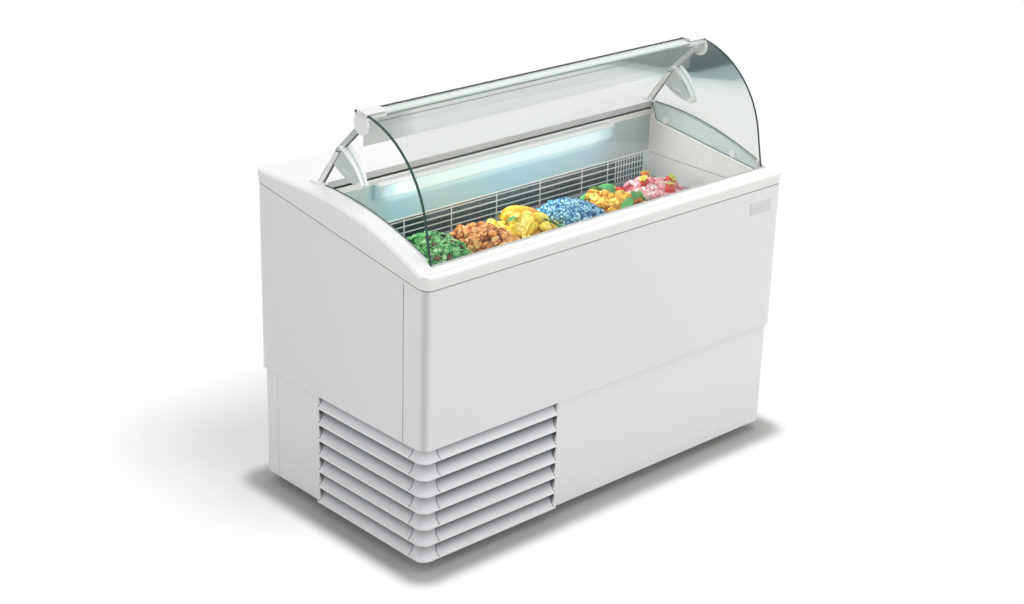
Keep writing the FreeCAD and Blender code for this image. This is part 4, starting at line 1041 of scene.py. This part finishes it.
# %% Mint
rng = np.random.default_rng(11)
mound(0, rng, 0.022, 0.0022, 0.010, (0.005, 0.09, 0.035), (0.02, 0.20, 0.08), (0.10, 0.40, 0.18))
direction, faces = globe(3, 6)
places = spread_over(rng, 300, 0.98, 0.004)
turns = resting(rng, places, 0.40, 0)
shapes = broken(rng, direction, 300, (0.0140, 0.0092, 0.0040), 0.65, 1.25)
centres = sit(places, 0.003, 0) + rng.normal(0, 0.0018, (300, 3))
mint = sweet("mint", (0.010, 0.16, 0.035), (0.14, 0.58, 0.17), (0.66, 0.95, 0.50), painted_shade_cells=62.0)
many("mint_flakes", 0, shapes, faces, turns, centres, rng.uniform(0.1, 0.75, 300), mint, 20.0)

# %% [markdown]
# Dark chocolate chips lie on the mint. They are broken chunks too, rounder because the globe has
# more points.

# %% Chocolate chips
direction, faces = globe(5, 10)
places = spread_over(rng, 17, 0.90, 0.012)
turns = resting(rng, places, 0.5, 0)
shapes = broken(rng, direction, 17, (0.0085, 0.0075, 0.0045), 0.8, 1.2)
chocolate = sweet("chocolate", (0.02, 0.006, 0.003), (0.07, 0.018, 0.007), (0.20, 0.07, 0.03), 0.28)
many("chocolate_chips", 0, shapes, faces, turns, sit(places, -0.001, 0), rng.uniform(0.0, 0.9, 17),
     chocolate)

# %% [markdown]
# Tub two, apricot: angular chunks of candied fruit, the larger ones at the front.

# %% Apricot
rng = np.random.default_rng(22)
mound(1, rng, 0.030, 0.0030, 0.008, (0.08, 0.012, 0.002), (0.17, 0.03, 0.004), (0.32, 0.08, 0.02))
direction, faces = globe(4, 7)
places = spread_over(rng, 84, 0.97, 0.004)
turns = resting(rng, places, 0.22, 1)
grow = 1.0 + 0.35 * np.clip(-places[:, 1:] / 0.17, -0.6, 1.0)
shapes = broken(rng, direction, 84, (0.0138, 0.0112, 0.0098), 0.80, 1.20, 6, 30.0, grow)
apricot = sweet("apricot", (0.22, 0.040, 0.005), (0.90, 0.31, 0.060), (0.99, 0.56, 0.22), 0.36,
                painted_shade_cells=46.0)
many("apricot_chunks", 1, shapes, faces, turns, sit(places, 0.002, 1), rng.uniform(0.20, 0.75, 84),
     apricot, 6.0)

# %% [markdown]
# Tub three, lemon, starts with soft round lobes at the left. Few planes and a fine globe make
# them smooth.

# %% Lemon lobes
rng = np.random.default_rng(33)
mound(2, rng, 0.040, 0.0030, 0.008, (0.36, 0.16, 0.006), (0.62, 0.34, 0.01), (0.84, 0.58, 0.05))
direction, faces = globe(13, 22)
places = spread_over(rng, 38, 0.94, 0.004)
places = places[places[:, 0] < 0.030]
count = len(places)
turns = resting(rng, places, 0.30, 2)
shapes = broken(rng, direction, count, (0.0215, 0.0150, 0.0130), 0.80, 1.25, 8)
lemon = sweet("lemon", (0.70, 0.42, 0.008), (0.95, 0.72, 0.05), (0.99, 0.88, 0.30), 0.30, painted_shade_cells=30.0)
many("lemon_lobes", 2, shapes, faces, turns, sit(places, 0.002, 2), rng.uniform(0.25, 0.75, count),
     lemon, 40.0)

# %% [markdown]
# Ridged slices lie at the right, and one thick orange crescent on top. A ridge is a cosine around
# the globe, and the crescent is a rounded block bent by a square along its length.

# %% Lemon slices and orange crescent
direction, faces = globe(11, 26)
places = on_heap([[0.050, 0.130], [0.052, 0.050], [0.050, 0.010], [0.054, -0.035], [0.048, -0.075],
                  [0.050, -0.115], [0.030, -0.145], [0.058, -0.150]])
turns = resting(rng, places, 0.15, 2)
ridges = 1.0 + 0.07 * np.cos(9.0 * np.arctan2(direction[:, 1], direction[:, 0]))
ridged = direction * (block_reach(direction, 2.2) * ridges)[:, None]
shapes = sized(rng, ridged, 8, (0.033, 0.013, 0.011), 0.9, 1.1)
many("lemon_slices", 2, shapes, faces, turns, sit(places, 0.001, 2), rng.uniform(0.2, 0.7, 8), lemon)
direction, faces = globe(17, 30)
crescent = direction * block_reach(direction, 2.3)[:, None] * np.array([0.058, 0.021, 0.015])
crescent[:, 1] += 5.0 * crescent[:, 0] ** 2
crescent[:, 2] -= 3.5 * crescent[:, 0] ** 2
crescent[:, 2] += 0.0012 * np.sin(crescent[:, 0] * 420.0)
places = on_heap([[0.016, 0.080]])
turns = resting(rng, places, 0.0, 2)
# A fixed turn along the tub takes the place of the random one.
turns[0] = np.stack([[0.35, -0.93, 0.10], [0.93, 0.35, 0.0], [-0.035, 0.093, 0.99]], -1)
orange = sweet("orange", (0.66, 0.16, 0.002), (0.90, 0.34, 0.004), (0.95, 0.56, 0.05), 0.28)
many("orange_slice", 2, crescent[None], faces, turns, sit(places, -0.010, 2), np.array([0.5]), orange)

# %% [markdown]
# Thin stems lie across the lemon. A stem is a tube that rises as a sine between its ends.

# %% Lemon stems


def stem_tubes(starts, ends, lift, radius, spokes=6, stations=10):
    """Round tubes from start to end that rise as a sine in the middle and taper to the end."""
    t = np.linspace(0.0, 1.0, stations)[None, :, None]
    middle = starts[:, None] * (1 - t) + ends[:, None] * t
    middle = middle + lift * np.sin(math.pi * t) * np.array([0.0, 0.0, 1.0])
    along = ends - starts
    along = along / np.linalg.norm(along, axis=-1, keepdims=True)
    side = np.cross(along, [0.0, 0.0, 1.0])
    side = side / np.linalg.norm(side, axis=-1, keepdims=True)
    over = np.cross(side, along)
    ring = np.linspace(0.0, 2.0 * math.pi, spokes, endpoint=False)
    circle = side[:, None, None] * np.cos(ring)[:, None] + over[:, None, None] * np.sin(ring)[:, None]
    tubes = middle[:, :, None] + circle * radius * (1.0 - 0.45 * t[..., None])
    count, size = len(starts), stations * spokes
    points = np.concatenate([tubes.reshape(count, size, 3), middle[:, :1], middle[:, -1:]], 1)
    fans = [f[:, ::-1] for f in pole_fans(spokes, stations, size)]
    return points, [grid_quads(stations, spokes, False, True), *fans]


stem_green = sweet("stem_green", (0.004, 0.03, 0.012), (0.02, 0.10, 0.03), (0.08, 0.22, 0.05), 0.35, 0.0002)
starts = on_heap([[-0.045, 0.150], [0.030, 0.020], [0.010, -0.040], [0.055, 0.110]])
ends = on_heap([[0.005, 0.060], [0.052, -0.085], [0.045, -0.120], [0.066, 0.030]])
tubes, faces = stem_tubes(sit(starts, -0.010, 2), sit(ends, -0.009, 2), 0.006, 0.0026)
unturned = np.repeat(np.eye(3)[None], 4, 0)
many("lemon_stems", 2, tubes, faces, unturned, np.zeros((4, 3)), np.array([0.2, 0.4, 0.3, 0.5]),
     stem_green)

# %% [markdown]
# A few leaves lie between the stems. A leaf is a grid whose width follows a sine along its length,
# folded at the rib and arched. A modifier gives it a wall, so that it is no sheet without
# thickness.

# %% Lemon leaves


def leaf_grid(lengths, widths, arch, fold, rows=9, columns=5):
    """Leaves as grids. Along the length u the half width is the sine of u to the 0.7, the rib
    rises as an arch of u, and the sides lift by fold times their distance from the rib."""
    u = np.linspace(0.0, 1.0, rows)[None, :, None]
    v = np.linspace(-1.0, 1.0, columns)[None, None, :]
    lengths, widths = lengths[:, None, None], widths[:, None, None]
    wide = widths * (0.04 + np.sin(math.pi * u) ** 0.7)
    x = lengths * (u - 0.5) + 0.0 * v
    y = wide * v + 0.0 * u
    z = arch * lengths * np.sin(math.pi * u) + fold * np.abs(y)
    points = np.stack(np.broadcast_arrays(x, y, z), -1)
    return points.reshape(len(lengths), -1, 3), [grid_quads(rows, columns)]


def thicken(piece, thickness):
    """Gives an open surface a wall to its under side."""
    wall = piece.modifiers.new("wall", "SOLIDIFY")
    wall.thickness = thickness
    wall.offset = -1.0


leaf_green = sweet("leaf_green", (0.006, 0.09, 0.03), (0.025, 0.23, 0.06), (0.11, 0.42, 0.12), 0.30, 0.0002)
places = on_heap([[-0.008, 0.140], [-0.044, 0.030], [0.060, 0.075], [0.048, -0.055],
                  [-0.010, -0.150], [0.020, -0.105]])
turns = resting(rng, places, 0.20, 2)
blades, faces = leaf_grid(rng.uniform(0.026, 0.040, 6), rng.uniform(0.006, 0.010, 6), 0.10, 0.25)
thicken(many("lemon_leaves", 2, blades, faces, turns, sit(places, -0.016, 2),
             rng.uniform(0.2, 0.8, 6), leaf_green), 0.0006)

# %% [markdown]
# Tub four, sky blue: several hundred small sugar crystals. Each has few faces, because there are
# so many of them.

# %% Sky blue
rng = np.random.default_rng(44)
mound(3, rng, 0.022, 0.0020, 0.008, (0.004, 0.05, 0.14), (0.015, 0.15, 0.30), (0.08, 0.32, 0.48))
direction, faces = globe(4, 8)
places = spread_over(rng, 760, 0.97, 0.003)
turns = resting(rng, places, 0.50, 3)
shapes = broken(rng, direction, 760, (0.0080, 0.0056, 0.0044), 0.60, 1.30, 8)
centres = sit(places, 0.002, 3) + rng.normal(0, 0.0015, (760, 3))
sky = sweet("sky", (0.004, 0.08, 0.26), (0.05, 0.32, 0.58), (0.56, 0.85, 0.95), 0.26, painted_shade_cells=85.0)
many("sky_crystals", 3, shapes, faces, turns, centres, rng.beta(1.1, 1.0, 760), sky)

# %% [markdown]
# Tub five, peach: balls in the left half. The dent in each is a narrow bell curve taken off the
# distance.

# %% Peach
rng = np.random.default_rng(55)
mound(4, rng, 0.036, 0.0030, 0.008, (0.26, 0.07, 0.004), (0.50, 0.18, 0.01), (0.74, 0.36, 0.04))
direction, faces = globe(13, 22)
places = spread_over(rng, 48, 0.94, 0.004)
places = places[places[:, 0] < 0.004]
count = len(places)
turns = resting(rng, places, 0.25, 4)
dent = 1.0 - 0.10 * np.exp(-(direction[:, 0] / 0.16) ** 2) * (direction[:, 2] > -0.2)
ball = direction * (block_reach(direction, 2.1) * dent)[:, None]
shapes = sized(rng, ball, count, (0.0165, 0.0145, 0.0130), 0.80, 1.20)
peach = sweet("peach", (0.50, 0.13, 0.003), (0.96, 0.48, 0.020), (0.99, 0.78, 0.18), 0.28, painted_shade_cells=34.0)
many("peach_balls", 4, shapes, faces, turns, sit(places, 0.002, 4), rng.uniform(0.2, 0.8, count), peach)

# %% [markdown]
# Bent slices lie in two rows in the right half, with a fine wave along them. Green leaves lie
# across both halves.

# %% Peach slices and leaves
direction, faces = globe(11, 24)
places = np.stack([np.tile([0.018, 0.050], 6), np.repeat(np.linspace(0.120, -0.135, 6), 2)], -1)
places = on_heap(places + rng.normal(0, 0.004, (12, 2)))
turns = resting(rng, places, 0.15, 4)
crescent = direction * block_reach(direction, 2.3)[:, None]
shapes = sized(rng, crescent, 12, (0.030, 0.0135, 0.0120), 0.9, 1.15)
shapes[..., 1] += 7.0 * shapes[..., 0] ** 2
shapes[..., 2] += 0.0010 * np.sin(shapes[..., 0] * 500.0)
many("peach_slices", 4, shapes, faces, turns, sit(places, 0.001, 4), rng.uniform(0.2, 0.8, 12), peach)
places = on_heap([[-0.052, 0.098], [-0.012, 0.045], [0.012, -0.055], [0.064, -0.020],
                  [0.030, 0.140], [-0.040, -0.080]])
turns = resting(rng, places, 0.20, 4)
blades, faces = leaf_grid(rng.uniform(0.052, 0.066, 6), rng.uniform(0.014, 0.018, 6), 0.10, 0.18, 11, 7)
thicken(many("peach_leaves", 4, blades, faces, turns, sit(places, -0.018, 4),
             rng.uniform(0.3, 0.7, 6), leaf_green), 0.0008)

# %% [markdown]
# Tub six, strawberry: pale pink lumps, broken chunks with soft edges.

# %% Strawberry
rng = np.random.default_rng(66)
mound(5, rng, 0.034, 0.0030, 0.008, (0.30, 0.03, 0.05), (0.52, 0.12, 0.16), (0.74, 0.30, 0.34))
direction, faces = globe(11, 18)
places = spread_over(rng, 68, 0.97, 0.005)
turns = resting(rng, places, 0.35, 5)
shapes = broken(rng, direction, 68, (0.0165, 0.0130, 0.0110), 0.75, 1.25, 8, 10.0)
pink = sweet("strawberry", (0.50, 0.06, 0.10), (0.84, 0.36, 0.40), (0.97, 0.82, 0.83), 0.30, painted_shade_cells=60.0)
many("strawberry_lumps", 5, shapes, faces, turns, sit(places, 0.001, 5), rng.uniform(0.20, 0.90, 68),
     pink, 40.0)

# %% [markdown]
# Whole strawberries lie on the lumps. A berry is a globe drawn out to a point, and its calyx is
# a star of small leaves on the wide end.

# %% Whole berries
PETALS = 6
BERRY_TOP = 0.0185
places = on_heap([[-0.045, 0.125], [-0.030, 0.035], [0.020, 0.090], [0.030, 0.000], [-0.020, -0.060],
                  [0.055, 0.050], [0.048, -0.075], [0.010, -0.125]])
count = len(places)
turns = resting(rng, places, 0.45, 5)
centres = sit(places, -0.006, 5)
direction, faces = globe(13, 20)
up = (direction[:, 2:] + 1.0) / 2.0
berry = direction * np.array([0.0145, 0.0145, 0.0190])
berry[:, :2] *= 0.62 + 0.42 * up * (2.0 - up)
red = sweet("berry_red", (0.26, 0.004, 0.006), (0.54, 0.012, 0.014), (0.76, 0.09, 0.05), 0.24)
many("strawberries", 5, np.repeat(berry[None], count, 0), faces, turns, centres,
     rng.uniform(0.3, 0.7, count), red)
leaves = count * PETALS
blades, faces = leaf_grid(np.full(leaves, 0.017), np.full(leaves, 0.0046), 0.14, 0.2, 6, 3)
blades[..., 0] += 0.0085
spin = np.tile(np.linspace(0.0, 2.0 * math.pi, PETALS, endpoint=False), count)
star = np.zeros((leaves, 3, 3))
star[:, 0, 0] = star[:, 1, 1] = np.cos(spin)
star[:, 0, 1] = -np.sin(spin)
star[:, 1, 0] = np.sin(spin)
star[:, 2, 2] = 1.0
turns = np.repeat(turns, PETALS, 0)
tops = np.repeat(centres, PETALS, 0) + turns[:, :, 2] * BERRY_TOP
calyx_green = sweet("calyx_green", (0.10, 0.20, 0.01), (0.40, 0.50, 0.04), (0.75, 0.68, 0.10), 0.34, 0.0002)
thicken(many("strawberry_calyx", 5, blades, faces, np.einsum("nij,njk->nik", turns, star), tops,
             rng.uniform(0.3, 0.9, leaves), calyx_green), 0.0007)

# %% [markdown]
# Behind the wire grid a thin ribbed dark sheet stands in the duct as painted shade, so the slots
# read as deep shade instead of the bright foam wall. Its ribs are a cosine along the length.

# %% Duct lining
x = np.linspace(-0.598, 0.598, 241)[None, :]
z = np.linspace(0.560, 0.7475, 9)[:, None]
y = 0.146 + 0.0012 * np.cos(x * 2.0 * math.pi / 0.020) + 0.0 * z
shade_sheet = put_mesh("duct_shade_sheet", np.stack(np.broadcast_arrays(x, y, z), -1), [grid_quads(9, 241)])
thicken(shade_sheet, 0.001)
# The sheet's dark colour is painted shade.
duct_painted_shade = finish("duct_painted_shade", (0.025, 0.075, 0.085), 0.5, clouding=0.5, cloud_scale=12.0)
dress(shade_sheet, duct_painted_shade, "cabinet")
print("shade_sheet", len(shade_sheet.data.polygons), "faces")

# %% [markdown]
# Two rubber lines run along the length: a gasket under the metal strip of the worktop, and a seal
# over the rear edge of the glass. Each is a small profile carried along X, because it is the same
# all the way.

# %% Gasket and seal


def long_profile(name, profile, half, body, material):
    """A closed YZ outline carried along X from -half to half, with both ends closed."""
    profile = np.asarray(profile)
    size = len(profile)
    points = np.empty((2, size, 3))
    points[:, :, 0] = np.array([-half, half])[:, None]
    points[:, :, 1:] = profile
    ends = np.arange(size)[None]
    piece = put_mesh(name, points, [grid_quads(2, size, False, True), ends[:, ::-1], ends + size], 40.0)
    dress(piece, material, body)


def bead(y, z, radius):
    """A circle of twelve points in the YZ plane."""
    ring = np.linspace(0.0, 2.0 * math.pi, 12, endpoint=False)
    return np.stack([y + radius * np.cos(ring), z + radius * np.sin(ring)], -1)


black_rubber = finish("black_rubber", (0.012, 0.014, 0.016), 0.5, clouding=0.2)
long_profile("worktop_gasket", bead(0.1264, 0.8852, 0.0033), 0.598, "cabinet", black_rubber)
rear_seal = [(-0.0320, 1.1351), (-0.0282, 1.1353), (-0.0270, 1.1347), (-0.0282, 1.1343), (-0.0325, 1.1342)]
long_profile("glass_rear_seal", rear_seal, 0.545, "lid", black_rubber)
print("rear seal", len(rear_seal), "points across")

# %% [markdown]
# A smoked strip hangs from the rail. It is a thin grey sheet with a small rounded rib below the
# rail, mostly see-through and denser towards its left end.

# %% Smoked strip
smoke = finish("smoked_sheet", (0.54, 0.56, 0.53), 0.22, clouding=0.05)
tree = smoke.node_tree
sheet_x, _, _ = object_axes(tree)
ended = span(tree, math_node(tree, "MULTIPLY", sheet_x, -1.0), 0.42, 0.08)
dense = math_node(tree, "ADD", math_node(tree, "MULTIPLY", ended, 0.36), 0.20)
tree.links.new(dense, tree.nodes["Principled BSDF"].inputs["Alpha"])
sheet = [(-0.0245, 1.0390), (-0.0229, 1.0390), (-0.0227, 1.1200), (-0.0247, 1.1200)]
long_profile("smoked_strip", sheet, 0.588, "lid", smoke)
grey_rubber = finish("grey_rubber", (0.28, 0.29, 0.29), 0.5, clouding=0.1)
long_profile("strip_rib", bead(-0.0250, 1.0930, 0.0010), 0.545, "lid", grey_rubber)
print("smoked strip", len(sheet), "points across")

# %% [markdown]
# The ends of the cabinet carry thin lines. One follows the arch, a parabola from the front ledge up
# to the worktop, and the others are straight. A round tube along a line makes each of them.

# %% Tubes along a line


def arch(y):
    """Height of the end arch: 808 mm at the front, 905 mm at the worktop, flat at the end."""
    share = np.clip((y + 0.333) / 0.433, 0.0, 1.0)
    return 0.808 + 0.097 * (1.0 - (1.0 - share) ** 2)


def tube_on(y, z, x, radius, spokes=10):
    """Tube along a line in the plane X = x, with both ends closed. A circle across the unit
    tangent stands on each point of the line."""
    tangent = np.stack([np.gradient(y), np.gradient(z)], -1)
    tangent /= np.linalg.norm(tangent, axis=-1, keepdims=True)
    ring = np.linspace(0.0, 2.0 * math.pi, spokes, endpoint=False)
    points = np.empty((len(y), spokes, 3))
    points[..., 0] = x + radius * np.cos(ring)
    points[..., 1] = y[:, None] - tangent[:, 1:] * radius * np.sin(ring)
    points[..., 2] = z[:, None] + tangent[:, :1] * radius * np.sin(ring)
    ends = np.arange(spokes)[None]
    return points, [grid_quads(len(y), spokes, False, True), ends[:, ::-1], ends + (len(y) - 1) * spokes]


print("arch rises from", arch(-0.333), "to", arch(0.100))

# %% [markdown]
# Each end has five lines: a dark gasket on the inner edge of the arch, one down the rear edge of
# the end plate, a dark joint and a white bead along its lower edge, and a groove across the end
# wall. Both ends take them from one table.

# %% End trims
PLATE_X = 0.5996
white_bead = finish("white_bead", (0.97, 0.97, 0.96), 0.35, clouding=0.03)
teal_line = finish("teal_line", (0.06, 0.11, 0.11), 0.45, clouding=0.1)
grey_line = finish("grey_line", (0.34, 0.34, 0.32), 0.5, clouding=0.1)
arch_y = np.linspace(-0.281, 0.119, 60)
lower_y = np.linspace(-0.281, 0.098, 30)
lower_z = 0.8 + 0.1313 * (lower_y + 0.292)
groove_y = np.linspace(-0.268, 0.127, 8)
rear_y = np.linspace(0.121, 0.101, 12)
rear_z = np.linspace(arch(0.121) - 0.003, 0.8516, 12)
LINES = (
    ("arch_gasket_", arch_y, arch(arch_y) + 0.0008, 0.6040, 0.0016, teal_line, "seal_rubber"),
    ("plate_bead_", lower_y, lower_z - 0.0038, 0.6000, 0.0046, white_bead, "plate_plastic"),
    ("plate_shadow_", lower_y, lower_z + 0.0016, PLATE_X, 0.0013, teal_line, "seal_rubber"),
    ("wall_groove_", groove_y, 0.748 + 0.0 * groove_y, 0.6027, 0.0009, grey_line, "liner_plastic"),
    ("plate_end_", rear_y, rear_z, PLATE_X, 0.0013, teal_line, "seal_rubber"),
)
for side, sign in (("left", -1.0), ("right", 1.0)):
    for name, y, z, x, radius, material, slot in LINES:
        line = put_mesh(name + side, *tube_on(y, z, sign * x, radius), 60.0)
        dress(line, material, "cabinet")
print("end trims", 2 * len(LINES))

# %% [markdown]
# The louvres have dark joints at the corner piece and at their outer ends. Each joint follows the
# face of a blade: its depth is a quartic in the root of the height above the lip, through the
# five points of the blade's section.

# %% Louvre joints
SECTION_Z = np.array([5.0, 9.5, 19.0, 32.0, 46.95])
SECTION_D = np.array([0.0, 8.0, 14.0, 17.5, 19.0])
BLADES = 7
GRILLE_TOP = 0.342
bow = np.polyfit(np.sqrt(SECTION_Z - SECTION_Z[0]), SECTION_D, 4)


def joint_lines(positions, across, radius=0.0010, spokes=6, stations=14):
    """Round tubes down the blade faces. across maps a position and a depth to X and Y."""
    ring = np.linspace(0.0, 2.0 * math.pi, spokes, endpoint=False)
    tubes = []
    for position in positions:
        for k in range(BLADES):
            foot = BLADE_FOOT + BLADE_PITCH * k
            z = np.linspace(5.0, min(46.0, (GRILLE_TOP - foot) * 1000.0), stations)
            depth = np.polyval(bow, np.sqrt(z - 5.0)) / 1000.0
            x, y = across(position + radius * np.cos(ring)[None, :], depth[:, None] + radius * np.sin(ring))
            z = foot + z / 1000.0
            tubes.append(np.stack(np.broadcast_arrays(x, y, z[:, None] + 0.0 * ring), -1))
    points = np.array(tubes)
    size = stations * spokes
    shift = (np.arange(len(points)) * size)[:, None, None]
    ends = np.arange(spokes)[None]
    faces = [grid_quads(stations, spokes, False, True), ends[:, ::-1], ends + size - spokes]
    return points, [(f[None] + shift).reshape(-1, f.shape[1]) for f in faces]


dark_joint = finish("dark_joint", (0.07, 0.075, 0.08), 0.6, clouding=0.1)
front = put_mesh("louvre_joints_front", *joint_lines((-0.6005, -0.1975), lambda a, d: (a, d - 0.342)))
left = put_mesh("louvre_joints_side", *joint_lines((-0.2855, 0.0865), lambda a, d: (d - 0.657, a)))
dress(front, dark_joint, "cabinet")
dress(left, dark_joint, "cabinet")
print("joint faces", len(front.data.polygons) + len(left.data.polygons))

# %% [markdown]
# Three small things are left. A dark seam marks the joint of the front and left skins, a white
# bead ends the rear wall, and a small black plug sits at the back of the left rail cap. The
# helpers for tubes, profiles and blocks make them.

# %% Skin seam, wall bead and plug
seam_z = np.linspace(0.346, 0.768, 24)
seam = put_mesh("skin_seam", *tube_on(-0.2625 + 0.0 * seam_z, seam_z, -0.6566, 0.0010), 60.0)
dress(seam, dark_joint, "cabinet")
long_profile("wall_bead", bead(0.1298, 0.7512, 0.0016), 0.602, "cabinet", white_bead)
direction, faces = globe(9, 16)
body = direction * block_reach(direction, 4.0)[:, None] * np.array([0.0050, 0.0045, 0.0026])
plug = put_mesh("cap_plug", body + [-0.6070, -0.0215, 1.1335], faces)
dress(plug, black_rubber, "lid")
